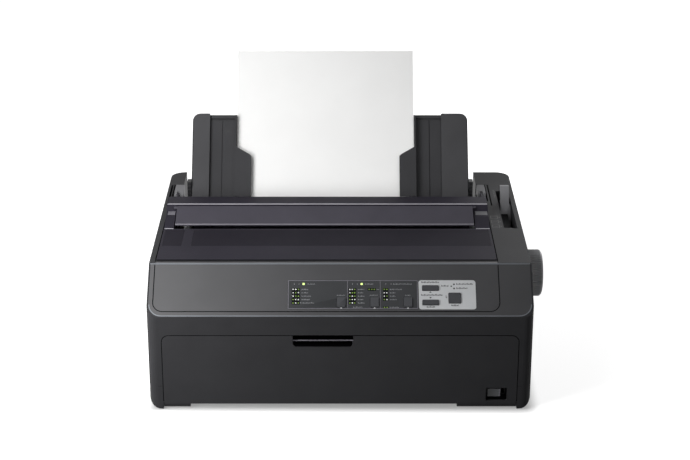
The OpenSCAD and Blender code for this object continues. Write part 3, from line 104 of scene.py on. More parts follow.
@dataclass(frozen=True)
class Finish:
    """A procedural finish: mottled colour, moulded grain and uneven gloss on Object coordinates."""

    name: str
    colour: str
    roughness: float
    metallic: float = 0.0
    grain_mm: float = 0.8
    grain: float = 0.12
    mottle: float = 0.07
    mottle_mm: float = 45.0
    stretch: tuple[float, float, float] = (1.0, 1.0, 1.0)
    specular: float = 0.5
    glow: float = 0.0
    sheen: float = 0.0

    def material(self) -> bpy.types.Material:
        """Builds the Blender material of this finish, once.

        Returns:
            The material.
        """
        if self.name in MADE:
            return MADE[self.name]
        made = bpy.data.materials.new(self.name)
        MADE[self.name] = made
        made.use_nodes = True
        tree = made.node_tree
        shader = tree.nodes["Principled BSDF"]
        shader.inputs["Metallic"].default_value = self.metallic
        shader.inputs["Specular IOR Level"].default_value = self.specular
        shader.inputs["Sheen Weight"].default_value = self.sheen
        if self.glow:
            shader.inputs["Emission Color"].default_value = linear(self.colour)
            shader.inputs["Emission Strength"].default_value = self.glow
        self._wire(tree, shader)
        made.diffuse_color = linear(self.colour)
        return made

    def _wire(self, tree: Tree, shader: bpy.types.Node) -> None:
        """Adds the mottle, the grain and the uneven gloss to the shader.

        Args:
            tree: The material's node tree.
            shader: Its Principled shader.
        """
        coords = node(tree, "ShaderNodeTexCoord").outputs["Object"]
        spread = node(tree, "ShaderNodeMapping", {"Vector": coords, "Scale": self.stretch})
        cloud, fine = (
            self._noise(tree, spread.outputs["Vector"], size, detail)
            for size, detail in ((self.mottle_mm, CLOUD_DETAIL), (self.grain_mm, GRAIN_DETAIL))
        )
        ramp = node(tree, "ShaderNodeValToRGB", {"Fac": cloud})
        base = linear(self.colour)
        shades = (1 - self.mottle, 1 + self.mottle)
        for stop, at, factor in zip(ramp.color_ramp.elements, MOTTLE_ENDS, shades):
            stop.position = at
            stop.color = (*[min(1.0, c * factor) for c in base[:3]], 1.0)
        dull = min(1.0, self.roughness + GLOSS_SPREAD)
        shiny = max(LEAST_ROUGHNESS, self.roughness - GLOSS_SPREAD)
        gloss = node(tree, "ShaderNodeMapRange", {"Value": fine, "To Min": shiny, "To Max": dull})
        bump = node(tree, "ShaderNodeBump", {"Height": fine, "Strength": self.grain, "Distance": GRAIN_DEPTH})
        tree.links.new(ramp.outputs["Color"], shader.inputs["Base Color"])
        tree.links.new(gloss.outputs["Result"], shader.inputs["Roughness"])
        tree.links.new(bump.outputs["Normal"], shader.inputs["Normal"])

    def _noise(self, tree: Tree, at: Socket, size: float, detail: float) -> Socket:
        """Adds a noise with patches of a given size.

        Args:
            tree: The material's node tree.
            at: The socket with the coordinates.
            size: Size of a patch in mm.
            detail: How many finer octaves it has.

        Returns:
            The socket with the noise.
        """
        inputs = {"Vector": at, "Scale": 1 / (size * MM), "Detail": detail}
        return node(tree, "ShaderNodeTexNoise", inputs).outputs["Fac"]


def node(tree: Tree, kind: str, inputs: dict | None = None, **settings: str) -> bpy.types.Node:
    """Adds a node with its settings, values and links.

    Args:
        tree: The node tree.
        kind: Blender's name of the node type.
        inputs: For a name or number of an input, the socket to link to it or the value to set.
        **settings: Names and values of the node's own settings.

    Returns:
        The new node.
    """
    made = tree.nodes.new(kind)
    for key, value in settings.items():
        setattr(made, key, value)
    for key, value in (inputs or {}).items():
        if isinstance(value, Socket):
            tree.links.new(value, made.inputs[key])
        else:
            made.inputs[key].default_value = value
    return made


# Moulded ABS with an eroded grain: near black, dull and even.
CASE = Finish("case_grain", "353537", 0.47, grain_mm=0.7, grain=0.5, specular=0.05)
# The same ABS with a flatter grain, which catches a soft sheen on the slope; its lighter tone is painted
# light.
PANEL = Finish("panel_grain", "404042", 0.4, grain_mm=0.7, grain=0.4, specular=0.45)
# Moulded ABS, a shade lighter than the case.
DOOR = Finish("door_grain", "373739", 0.45, grain_mm=0.7, grain=0.5, specular=0.05)
# Smooth moulded polystyrene with a violet cast.
COVER = Finish("cover_smooth", "2e2c34", 0.55, grain_mm=1.4, specular=0.05)
# Grained polystyrene; its tone, paler than the cover that it lies on, is painted light on its tilted face.
FLAP = Finish("flap_grain", "4b4951", 0.46, grain_mm=0.7, grain=0.45, specular=0.05)
# Smoked acrylic with a dark ground: nearly black, and it hides what is below.
WINDOW = Finish("smoked_pane", "26242b", 0.6, grain_mm=1.4, specular=0.04)
# Moulded ABS of the hoods, lighter than the case.
GUIDE = Finish("guide_grain", "4a4a4c", 0.45, grain_mm=0.7, grain=0.5, specular=0.05)
# Moulded ABS of the sliding edge guides.
PLATE = Finish("guide_plate_grain", "3e3e40", 0.47, grain_mm=0.7, grain=0.5, specular=0.05)
# Mid-grey acetal of the hinge posts, with a slight gloss; its colour also paints a highlight on a wedge.
POST = Finish("hinge_post_grey", "77777a", 0.5, grain=0.3, specular=0.12)
# Grey acetal of the release lever.
LEVER = Finish("lever_grain", "808083", 0.45, grain=0.25, specular=0.12)
# Grey moulded nylon, which shows its ribs by its gloss.
KNOB = Finish("knob_grain", "98989b", 0.42, grain_mm=0.7, grain=0.3, specular=0.3)
# Rubbery ABS of the key caps, with soft lights on the edges.
KEY = Finish("key_dark", "4a4b4e", 0.4, grain_mm=0.6, grain=0.25, specular=0.12)
# Screen-printed polyester sheet, dark and flat.
LEGEND = Finish("legend_dark", "3c3d3f", 0.5, grain_mm=1.2, grain=0.15, specular=0.12)
# The same sheet with a silver ground, slightly metallic.
SILVER = Finish("legend_silver", "c4c6c8", 0.42, metallic=0.1, grain_mm=0.5, grain=0.2)
# Pale screen ink.
PRINT = Finish("print_pale", "c9cacc", 0.55, grain_mm=0.3, grain=0.05)
# Grey screen ink, half as strong to the eye.
PRINT_GREY = Finish("print_grey", "96989b", 0.55, grain_mm=0.3, grain=0.05)
# Black screen ink.
PRINT_DARK = Finish("print_dark", "1d1e20", 0.5, grain_mm=0.3, grain=0.05)
# Clear polycarbonate lens, unlit and pale.
LAMP_PALE = Finish("lamp_pale", "f2f4f2", 0.3, grain_mm=0.4, grain=0.05)
# Green tinted polycarbonate lens, unlit.
LAMP_GREEN = Finish("lamp_green", "7da23c", 0.35, grain_mm=0.4, grain=0.05)
# Tinted lens with its lamp on.
LAMP_LIT = Finish("lamp_lit", "cfe98a", 0.3, grain_mm=0.4, grain=0.05, glow=0.9)
# Black ink round the lenses.
FIELD = Finish("lamp_field", "101112", 0.5, grain_mm=0.4, grain=0.05, specular=0.1)
# Glossy black polyamide of switch and inlet.
SWITCH = Finish("switch_gloss", "1a1a1b", 0.3, grain=0.1, specular=0.12)
# Glossy polyamide of the rocker; its pale tone is painted light on its face.
ROCKER = Finish("rocker_gloss", "56575a", 0.35, grain=0.1, specular=0.3)
# Black rubber, dull and mottled.
RUBBER = Finish("black_rubber", "1b1b1b", 0.8, grain_mm=0.4, grain=0.5, mottle=0.15)
# Ground rubber of the platen, with fine marks along it.
ROLLER = Finish("roller_rubber", "202021", 0.6, grain_mm=0.25, grain=0.4, stretch=(0.2, 1, 1))
# Uncoated white paper, with the faintest cloud.
PAPER = Finish("paper_white", "f2f2f1", 0.8, grain_mm=0.35, mottle=0.012, sheen=0.05)
# Zinc-plated sheet steel with broad spangles.
STEEL = Finish("zinc_sheet", "9b9ea1", 0.34, metallic=1.0, grain=0.15, mottle=0.16, mottle_mm=14)
# Ground steel rod, with marks drawn out along it.
BRIGHT = Finish("ground_steel", "c2c4c6", 0.22, metallic=1.0, grain_mm=0.3, grain=0.1, stretch=(0.08, 1, 1))
# Plated motor can, darker than the frames.
CAN = Finish("motor_can", "55585b", 0.38, metallic=0.8, grain_mm=0.7, grain=0.1)
# Black acetal of carriage, pan and tractors.
MECH = Finish("mechanism_dark", "29292b", 0.5, grain=0.3, specular=0.12)
# Black polystyrene shell of the ribbon.
CARTRIDGE = Finish("cartridge_black", "202022", 0.4, grain=0.3, specular=0.12)
# Unpigmented acetal, cream and smooth.
GEAR = Finish("gear_natural", "d8d5ca", 0.4, grain_mm=1.2, grain=0.08)
# Turned brass.
BRASS = Finish("turned_brass", "b79a52", 0.28, metallic=1.0, grain_mm=0.3, grain=0.1, stretch=(0.1, 1, 1))
# Cast aluminium of the print head, with a sand grain.
HEAD = Finish("cast_head", "7a7d80", 0.45, metallic=0.9, grain_mm=0.6, grain=0.4)
# Woven nylon ribbon full of ink. Its threads are drawn coarser than real ones, so that they show.
CLOTH = Finish("ribbon_weave", "0f0f11", 0.75, grain_mm=0.18, grain=0.6)
# Green solder mask over fibreglass.
BOARD = Finish("board_green", "1d4f33", 0.42, grain_mm=0.5, grain=0.15, mottle=0.1, mottle_mm=6)
# Brown phenolic laminate.
LAMINATE = Finish("board_brown", "7a5c34", 0.5, grain_mm=0.5, grain=0.15, mottle=0.1, mottle_mm=6)
# Nickel-plated socket shell.
SHELL = Finish("plated_shell", "8e9194", 0.3, metallic=1.0, grain_mm=0.6, grain=0.1)
# Painted shade for the depth of gaps, seams and recesses: black without gloss.
GAP_SHADE = Finish("gap_painted_shade", "060607", 0.9, grain=0.1, specular=0.0)
# Painted shade: the dark strip behind the top edge of the panel.
PANEL_SHADE = Finish("panel_top_painted_shade", "1e1e20", 0.7, grain=0.1, specular=0.05)
# Painted highlight: the light line along a rounded edge of the plastic.
SHEEN = Finish("edge_sheen", "a4a2a9", 0.45, grain_mm=0.6, grain=0.1)
# The same painted highlight, dimmer; its colour is also the grey ink of the legend's lines.
DIM_SHEEN_AND_INK = Finish("dim_sheen_and_ink", "74727a", 0.45, grain_mm=0.6, grain=0.1)
# The same painted highlight on the case, cooler.
SHEEN_COOL = Finish("edge_sheen_cool", "6c7076", 0.45, grain_mm=0.6, grain=0.1)


@dataclass(frozen=True)
class CadLook:
    """A finish with a width of softened edges, and the carried-over nodes that get both."""

    finish: Finish
    edge_mm: float
    nodes: tuple[str, ...]


KEYS = tuple(f"{name}_button" for name in ("font", "pitch", "tear_off", "load_eject", "line_feed", "pause"))
IDLERS = tuple(f"idler_gear_{number}" for number in (1, 2, 3))
WHEELS = ("platen_gear", *IDLERS, "drive_pulley", "idler_pulley", "tractor_gear")
CAD_LOOKS = (
    CadLook(CASE, 0.5, ("lower_case", "upper_case")),
    CadLook(RUBBER, 0.25, ("rubber_feet",)),
    CadLook(BRIGHT, 0.1, ("case_screws",)),
    CadLook(DOOR, 0.5, ("front_cover",)),
    CadLook(PANEL, 0.25, ("control_panel",)),
    CadLook(LEGEND, 0.05, ("status_overlay",)),
    CadLook(SILVER, 0.05, ("command_overlay",)),
    CadLook(BOARD, 0.1, ("panel_board",)),
    CadLook(KEY, 0.4, KEYS),
    CadLook(SWITCH, 0.3, ("power_switch", "ac_inlet")),
    CadLook(ROCKER, 0.4, ("power_rocker",)),
    CadLook(COVER, 0.45, ("printer_cover",)),
    CadLook(WINDOW, 0.15, ("cover_window",)),
    CadLook(FLAP, 0.3, ("exit_flap",)),
    CadLook(POST, 0.4, ("cover_hinge_posts",)),
    CadLook(GUIDE, 0.6, ("paper_guide",)),
    CadLook(PLATE, 0.3, ("left_edge_guide", "right_edge_guide")),
    CadLook(PAPER, 0.0, ("paper_sheet",)),
    CadLook(STEEL, 0.2, ("base_frame", "left_side_frame", "right_side_frame", "guide_rail")),
    CadLook(MECH, 0.2, ("paper_pan",)),
    CadLook(ROLLER, 0.4, ("platen_roller",)),
    CadLook(BRIGHT, 0.3, ("platen_shaft", "carriage_rail")),
    CadLook(KNOB, 0.2, ("platen_knob",)),
    CadLook(GEAR, 0.1, WHEELS),
    CadLook(BRASS, 0.1, ("feed_pinion",)),
    CadLook(CAN, 0.5, ("feed_motor", "carriage_motor")),
    CadLook(MECH, 0.4, ("carriage", "left_tractor", "right_tractor")),
    CadLook(HEAD, 0.3, ("print_head",)),
    CadLook(CARTRIDGE, 0.5, ("ribbon_cartridge",)),
    CadLook(CLOTH, 0.0, ("ink_ribbon",)),
    CadLook(MECH, 0.3, ("ribbon_knob",)),
    CadLook(RUBBER, 0.1, ("carriage_belt",)),
    CadLook(BRIGHT, 0.2, ("tractor_shaft", "tractor_rod")),
    CadLook(LEVER, 0.5, ("release_lever",)),
    CadLook(BOARD, 0.2, ("main_board",)),
    CadLook(LAMINATE, 0.3, ("power_board",)),
    CadLook(SHELL, 0.2, ("interface_ports",)),
)


@dataclass
class CadDresser:
    """Gives every carried-over node its finish and softens its sharp edges."""

    weld_mm: float = 0.004
    segments: int = 2
    sharp_from: float = 38.0

    def dress(self) -> None:
        """Goes through all nodes of the frame."""
        for look in CAD_LOOKS:
            for name in look.nodes:
                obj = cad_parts[name]
                for slot in obj.material_slots:
                    slot.material = look.finish.material()
                if look.edge_mm:
                    self._soften(obj, look.edge_mm)
                LOG.info("dressed %s as %s", name, look.finish.name)

    def _soften(self, obj: bpy.types.Object, width: float) -> None:
        """Adds a weld and a narrow bevel.

        Args:
            obj: The node's object.
            width: Width of the bevel in mm.
        """
        weld = obj.modifiers.new("weld", "WELD")
        weld.merge_threshold = self.weld_mm * MM
        bevel = obj.modifiers.new("soft_edges", "BEVEL")
        bevel.width = width * MM
        bevel.segments = self.segments
        bevel.limit_method = "ANGLE"
        bevel.angle_limit = math.radians(self.sharp_from)
        bevel.use_clamp_overlap = True
        bevel.harden_normals = False


# ---------- pieces ----------


class Surface(Enum):
    """A face that marks and trim lie on: y and z of its foot in mm, and its angle from level in degrees."""

    SLOPE = (0.0, FRONT_H, math.degrees(math.atan2(TOP_Z - FRONT_H, SLOPE_D)))
    GUIDE = (GUIDE_Y, TOP_Z, 90.0 - GUIDE_LEAN)
    TOP = (0.0, TOP_Z, 0.0)
    FRONT = (0.0, 0.0, 90.0)

    def point(self, u: float, v: float, lift: float) -> Vector:
        """A point on or over this face.

        Args:
            u: Place across the face in mm.
            v: Place up or along the face in mm.
            lift: Distance out of the face in mm.

        Returns:
            The point in the row frame, in metres.
        """
        y, z, angle = self.value
        level, upright = math.cos(math.radians(angle)), math.sin(math.radians(angle))
        return place(u, y + v * level - lift * upright, z + v * upright + lift * level)


def arc_points(u: float, v: float, radius: float, start: float, end: float, steps: int = 8) -> list[Point]:
    """Points of an arc, with its angles in degrees."""
    angles = [math.radians(start + (end - start) * k / steps) for k in range(steps + 1)]
    return [(u + radius * math.cos(a), v + radius * math.sin(a)) for a in angles]


def prisms(name: str, outlines: Sequence[Sequence[Vector]], shift: Vector) -> bpy.types.Object:
    """Models closed prisms in one mesh: a flat face for each outline, extruded by the shift.

    Args:
        name: Name of the piece.
        outlines: Corners of each face in metres.
        shift: The way that the faces are extruded, in metres.

    Returns:
        The new object, selected and active.
    """
    bpy.ops.object.select_all(action="DESELECT")
    bpy.ops.mesh.primitive_circle_add(vertices=len(outlines[0]), radius=MM, fill_type="NGON")
    obj = bpy.context.object
    obj.name = name
    obj.data.name = name
    bpy.ops.object.mode_set(mode="EDIT")
    for outline in outlines[1:]:
        bpy.ops.mesh.primitive_circle_add(vertices=len(outline), radius=MM, fill_type="NGON")
    bpy.ops.object.mode_set(mode="OBJECT")
    for corner, at in zip(obj.data.vertices, (point for outline in outlines for point in outline)):
        corner.co = at
    bpy.ops.object.mode_set(mode="EDIT")
    bpy.ops.mesh.select_all(action="SELECT")
    bpy.ops.mesh.extrude_region_move(TRANSFORM_OT_translate={"value": shift})
    bpy.ops.mesh.select_all(action="SELECT")
    bpy.ops.mesh.normals_make_consistent(inside=False)
    bpy.ops.object.mode_set(mode="OBJECT")
    return obj


def finished(obj: bpy.types.Object, finish: Finish, body: str) -> bpy.types.Object:
    """Gives a modelled piece its finish and its body.

    Args:
        obj: The piece.
        finish: Its finish.
        body: The CAD body that it rides on.

    Returns:
        The same object.
    """
    obj.data.materials.append(finish.material())
    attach(obj, body)
    LOG.info("built %s", obj.name)
    return obj


@dataclass
class Relief:
    """A thin raised piece built of outlines on one face, all joined in one mesh."""

    name: str
    surface: Surface
    base: float
    height: float
    edge_mm: float = 0.25
    edge_share: float = 0.35
    outlines: list[list[Point]] = field(default_factory=list)

    def rect(self, u0: float, v0: float, u1: float, v1: float) -> "Relief":
        """Adds a rectangle between two corners."""
        self.outlines.append([(u0, v0), (u1, v0), (u1, v1), (u0, v1)])
        return self

    def disc(self, u: float, v: float, radius: float, sides: int = 20) -> "Relief":
        """Adds a disc."""
        self.outlines.append(arc_points(u, v, radius, 0, 360, sides)[:-1])
        return self

    def poly(self, points: Iterable[Point]) -> "Relief":
        """Adds any closed outline."""
        self.outlines.append(list(points))
        return self

    def frame_lines(self, u0: float, v0: float, u1: float, v1: float, width: float) -> "Relief":
        """Adds a rectangular line of that width inside the corners."""
        low, high = v0 + width, v1 - width
        self.rect(u0, v0, u1, low).rect(u0, high, u1, v1)
        return self.rect(u0, low, u0 + width, high).rect(u1 - width, low, u1, high)

    def path(self, points: Sequence[Point], width: float) -> "Relief":
        """Adds a line through points.

        Args:
            points: Its points in mm.
            width: Its width in mm.

        Returns:
            This relief.
        """
        for (u0, v0), (u1, v1) in zip(points, points[1:]):
            length = math.hypot(u1 - u0, v1 - v0)
            a, b = -(v1 - v0) / length * width / 2, (u1 - u0) / length * width / 2
            self.outlines.append([(u0 - a, v0 - b), (u1 - a, v1 - b), (u1 + a, v1 + b), (u0 + a, v0 + b)])
        return self

    def word(self, u: float, v: float, letters: int, height: float = 1.2, bar: float = 0.34) -> "Relief":
        """Adds a row of tiny upright bars, which looks like a word of small print from afar.

        Args:
            u: Left end of the row in mm.
            v: Foot of the row in mm.
            letters: How many bars, 1 mm apart.
            height: Height of the tall bars in mm.
            bar: Width of the narrow bars in mm.

        Returns:
            This relief.
        """
        for k in range(letters):
            rise = height if k % 4 in (0, 3) else height * 0.7
            self.rect(u + k, v, u + k + (bar if k % 3 else bar + 0.16), v + rise)
        return self

    def build(self, finish: Finish, body: str) -> bpy.types.Object:
        """Makes the mesh with a softened upper edge.

        Args:
            finish: Its finish.
            body: The CAD body it rides on.

        Returns:
            The new object.
        """
        foot = self.surface.point(0.0, 0.0, 0.0)
        shift = self.surface.point(0.0, 0.0, self.height) - foot
        corners = [[self.surface.point(u, v, self.base) for u, v in outline] for outline in self.outlines]
        obj = prisms(self.name, corners, shift)
        edge = obj.modifiers.new("soft_edges", "BEVEL")
        edge.width = min(self.edge_mm, self.height * self.edge_share) * MM
        edge.segments = 2
        edge.limit_method = "ANGLE"
        bpy.ops.object.modifier_apply(modifier=edge.name)
        return finished(obj, finish, body)


@dataclass
class PanelLegends:
    """Printing, lamps and dividers on the two legend sheets of the sloping panel.

    A word of small print is its left end, its foot and its number of letters, and the words beside the
    lamps stand one to a row. In the code of a row of lamps, W is a pale lens and G a green one.
    """

    sheet_lift: float = 0.2
    ink: float = 0.06
    pointer_ink: float = 0.09
    lens: float = 0.25
    lit_lens: float = 0.3
    lamp_r: float = 0.68
    lit_r: float = 1.3
    field_rim: Point = (1.5, 1.6)
    fields: tuple[Rect, ...] = ((29.2, 30.8, 38.0, 34.0), (45.4, 9.9, 51.1, 12.1))
    rows: tuple[float, ...] = (32.4, 28.4, 24.4, 20.3, 16.3)
    font_lamps: tuple[float, ...] = (-49.9, -47.1, -44.3)
    font_code: tuple[str, ...] = ("WWG", "WGW", "WGG", "GWW", "GWG")
    pitch_lamps: tuple[float, ...] = (10.3, 12.9, 15.5)
    pitch_code: tuple[str, ...] = ("WWG", "WGG", "GWG", "GWW", "GWG")
    menu_lamps: tuple[float, ...] = (46.9, 49.6)
    menu_code: tuple[str, ...] = ("GG", "WW", "WG", "GW")
    top_lamps: tuple[float, ...] = (30.8, 33.6, 36.4)
    foot_row: float = 11.0
    lit: tuple[Point, ...] = ((-38.9, 38.9), (22.9, 38.9))
    border: Rect = (-55.3, 9.6, 82.3, 43.3)
    border_w: float = 0.55
    dividers: Point = (7.8, 42.6)
    divider_w: float = 0.4
    divider_in: Point = (0.8, 0.7)
    pointers: tuple[float, ...] = (1.1, 36.4, 71.8)
    pointer: Point = (2.6, 1.7)
    pointer_foot: float = 9.7
    word_drop: float = 0.55
    font_words: tuple[tuple[float, int], ...] = ((-40.8, 7), (-40.8, 7), (-40.8, 10), (-40.8, 9), (-42.4, 15))
    pitch_words: tuple[tuple[float, int], ...] = ((19.0, 7), (19.0, 6), (19.0, 7), (19.0, 6), (19.0, 7))
    menu_words: tuple[tuple[float, int], ...] = ((53.0, 13), (53.0, 6), (53.0, 6), (53.0, 7))
    ticks: tuple[float, ...] = (-48.8, -43.8, 13.0, 18.3, 48.6, 54.2)
    tick_s: Point = (38.2, 39.6)
    tick_w: float = 0.4
    dark_words: tuple[Word, ...] = (
        (-34.4, 38.3, 8), (26.6, 38.3, 9), (56.6, 38.3, 20), (38.8, 31.9, 3), (-3.4, 24.9, 9),
        (31.6, 24.9, 9), (69.0, 24.9, 6), (13.8, 10.8, 10), (52.4, 10.6, 10),
    )
    silver_words: tuple[Word, ...] = (
        (86.6, 40.2, 19), (86.0, 24.9, 23), (91.6, 10.9, 9), (107.6, 35.8, 8),
        (123.6, 38.0, 18), (123.6, 33.0, 12), (117.8, 12.6, 8),
    )
    silver_tall: float = 1.9
    silver_bar: float = 0.52
    silver_dots: tuple[Disc, ...] = ((118.2, 36.3, 0.85), (121.1, 38.6, 1.0), (121.1, 33.6, 1.0))
    silver_arrows: tuple[tuple[Point, Point, Point], ...] = (
        ((94.4, 28.5), (97.2, 28.5), (95.8, 30.2)),
        ((94.4, 23.3), (95.8, 21.6), (97.2, 23.3)),
    )
    silver_bars: tuple[Rect, ...] = ((112.0, 22.0, 112.5, 25.4), (112.9, 22.0, 113.3, 23.8))

    def build(self) -> None:
        """Builds lamps, lines and small print."""
        self._lamps()
        self._lines()
        self._small_print()
        self._silver_print()

    def _lamps(self) -> None:
        """Lamp lenses, pale, green and lit, on their dark fields, in place of the plain discs."""
        fields = Relief("lamp_fields", Surface.SLOPE, base=self.sheet_lift, height=self.ink)
        pale = Relief("lamps_pale", Surface.SLOPE, base=self.sheet_lift, height=self.lens)
        green = Relief("lamps_green", Surface.SLOPE, base=self.sheet_lift, height=self.lens)
        lit = Relief("lamps_lit", Surface.SLOPE, base=self.sheet_lift, height=self.lit_lens)
        (rim_x, rim_s), top = self.field_rim, self.rows[0]
        for columns, patterns in (
            (self.font_lamps, self.font_code),
            (self.pitch_lamps, self.pitch_code),
            (self.menu_lamps, self.menu_code),
        ):
            low = self.rows[len(patterns) - 1]
            fields.rect(columns[0] - rim_x, low - rim_s, columns[-1] + rim_x, top + rim_s)
            for row, pattern in zip(self.rows, patterns):
                for x, kind in zip(columns, pattern):
                    (pale if kind == "W" else green).disc(x, row, self.lamp_r)
        for corners in self.fields:
            fields.rect(*corners)
        for x in self.top_lamps:
            green.disc(x, top, self.lamp_r)
        for x in self.menu_lamps:
            green.disc(x, self.foot_row, self.lamp_r)
        for x, s in self.lit:
            lit.disc(x, s, self.lit_r)
        fields.build(FIELD, "chassis")
        for lenses, finish in ((pale, LAMP_PALE), (green, LAMP_GREEN), (lit, LAMP_LIT)):
            obj = lenses.build(finish, "chassis")
            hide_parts("indicator_leds")

    def _lines(self) -> None:
        """Outline, dividers and pointers of the dark sheet."""
        lines = Relief("legend_lines", Surface.SLOPE, base=self.sheet_lift, height=self.ink)
        lines.frame_lines(*self.border, self.border_w)
        low, high = self.border[1] + self.divider_in[0], self.border[3] - self.divider_in[1]
        for x in self.dividers:
            lines.rect(x - self.divider_w / 2, low, x + self.divider_w / 2, high)
        lines.build(DIM_SHEEN_AND_INK, "chassis")
        marks = Relief("key_pointers", Surface.SLOPE, base=self.sheet_lift, height=self.pointer_ink)
        half, foot, tip = self.pointer[0] / 2, self.pointer_foot, self.pointer_foot + self.pointer[1]
        for x in self.pointers:
            marks.poly([(x - half, foot), (x + half, foot), (x, tip)])
        marks.build(PRINT, "chassis")

    def _small_print(self) -> None:
        """Grey rows of tiny bars on the dark sheet, and the ticks over the lamps."""
        words = Relief("legend_words", Surface.SLOPE, base=self.sheet_lift, height=self.ink)
        for column in (self.font_words, self.pitch_words, self.menu_words):
            for row, (x, letters) in zip(self.rows, column):
                words.word(x, row - self.word_drop, letters)
        for x, s, letters in self.dark_words:
            words.word(x, s, letters)
        for x in self.ticks:
            words.rect(x - self.tick_w / 2, self.tick_s[0], x + self.tick_w / 2, self.tick_s[1])
        words.build(PRINT_GREY, "chassis")

    def _silver_print(self) -> None:
        """Dark bars, dots and pointers on the silver sheet."""
        words = Relief("silver_words", Surface.SLOPE, base=self.sheet_lift, height=self.ink)
        for x, s, letters in self.silver_words:
            words.word(x, s, letters, self.silver_tall, self.silver_bar)
        for corners in self.silver_arrows:
            words.poly(corners)
        for x, s, radius in self.silver_dots:
            words.disc(x, s, radius)
        for corners in self.silver_bars:
            words.rect(*corners)
        words.build(PRINT_DARK, "chassis")


@dataclass
class Band:
    """A thin strip along X that follows a line of [y, z] points on one piece, such as an edge's painted
    highlight.
    """

    name: str
    x0: float
    x1: float
    line: tuple[Point, ...]
    rise: float = 0.08
    sink: float = 0.25

    def build(self, finish: Finish, body: str) -> bpy.types.Object:
        """Makes the strip.

        Args:
            finish: Its finish.
            body: The CAD body it rides on.

        Returns:
            The new object.
        """
        high, low = [], []
        for k, (y, z) in enumerate(self.line):
            y_a, z_a = self.line[max(0, k - 1)]
            y_b, z_b = self.line[min(len(self.line) - 1, k + 1)]
            length = math.hypot(y_b - y_a, z_b - z_a)
            out_y, out_z = -(z_b - z_a) / length, (y_b - y_a) / length
            high.append(place(self.x0, y + out_y * self.rise, z + out_z * self.rise))
            low.append(place(self.x0, y - out_y * self.sink, z - out_z * self.sink))
        shift = Vector(((self.x1 - self.x0) * MM, 0.0, 0.0))
        return finished(prisms(self.name, [[*high, *low[::-1]]], shift), finish, body)


@dataclass
class PanelBorder:
    """Painted shade in the gap round the control panel, and painted light on the slope outside it."""

    gap_left: float = -198.45
    gap_right: float = 169.05
    gap_low: float = 6.25
    gap_r: float = 10.75
    gap_w: float = 1.1
    gap_head: float = 62.0
    gap_clear: float = 0.65
    rim_x: float = 203.2
    rim_low: float = 0.3
    rim_r: float = 14.3
    rim_w: float = 1.1
    rim_inset: float = 0.7
    head: float = 64.0

    def _bowl(self, left: float, right: float, low: float, radius: float) -> list[Point]:
        """The two round lower corners of an outline that is open above.

        Args:
            left: Its left side in mm.
            right: Its right side in mm.
            low: Its lowest line in mm.
            radius: Radius of its corners in mm.

        Returns:
            Its points from left to right.
        """
        up = low + radius
        start = arc_points(left + radius, up, radius, 180, 270)
        return [*start, *arc_points(right - radius, up, radius, 270, 360)]

    def build_gap(self) -> None:
        """Builds the painted shade in the gap: a black strip."""
        line = self._bowl(self.gap_left, self.gap_right, self.gap_low, self.gap_r)
        gap = Relief("panel_seam", Surface.SLOPE, base=-0.7, height=0.76)
        gap.path([(self.gap_left, self.gap_head), *line, (self.gap_right, self.gap_head)], self.gap_w)
        gap.build(GAP_SHADE, "chassis")

    def build_border(self) -> None:
        """Builds the border of the slope, painted lighter, and a painted highlight along its lower edge."""
        clear = self.gap_clear
        left, right = self.gap_left - clear, self.gap_right + clear
        inner = self._bowl(left, right, self.gap_low - clear, self.gap_r + clear)
        outer = self._bowl(-self.rim_x, self.rim_x, self.rim_low, self.rim_r)
        # Painted light: the slope's border on the case, in the panel's lighter finish.
        cheeks = Relief("slope_cheeks", Surface.SLOPE, base=-0.02, height=0.06)
        ends = [(self.rim_x, self.head), (right, self.head), *inner[::-1], (left, self.head)]
        cheeks.poly([(-self.rim_x, self.head), *outer, *ends])
        cheeks.build(PANEL, "chassis")
        inset = self.rim_inset
        rim_x, low = self.rim_x - inset, self.rim_low + inset
        # Painted highlight: a light line along the rounded lower edge of the slope.
        rim = Relief("slope_rim", Surface.SLOPE, base=0.0, height=0.08)
        rim.path(self._bowl(-rim_x, rim_x, low, self.rim_r - inset), self.rim_w)
        rim.build(SHEEN_COOL, "chassis")


@dataclass
class LidSeams:
    """Painted shade in the gaps beside and in front of the top cover, and behind the panel's top edge."""

    lid_x0: float = -198.0
    lid_x1: float = 168.6
    side_clear: float = 0.4
    side_w: float = 0.8
    side_y0: float = 55.0
    side_y1: float = 235.0
    front_y0: float = 57.8
    front_y1: float = 58.95
    shade_y0: float = 53.6
    shade_y1: float = 58.4

    def build_gaps(self) -> None:
        """Builds the black strips of painted shade in the gaps."""
        left, right = self.lid_x0 - self.side_clear, self.lid_x1 + self.side_clear
        gaps = Relief("cover_seam", Surface.TOP, base=-0.9, height=1.2)
        gaps.rect(left - self.side_w, self.side_y0, left, self.side_y1)
        gaps.rect(right, self.side_y0, right + self.side_w, self.side_y1)
        gaps.rect(self.lid_x0, self.front_y0, self.lid_x1, self.front_y1)
        gaps.build(GAP_SHADE, "chassis")

    def build_shade(self) -> None:
        """Builds the dark strip of painted shade behind the panel's top edge."""
        shade = Relief("panel_top_shade", Surface.TOP, base=-0.06, height=0.1)
        shade.rect(self.lid_x0, self.shade_y0, self.lid_x1, self.shade_y1)
        shade.build(PANEL_SHADE, "chassis")


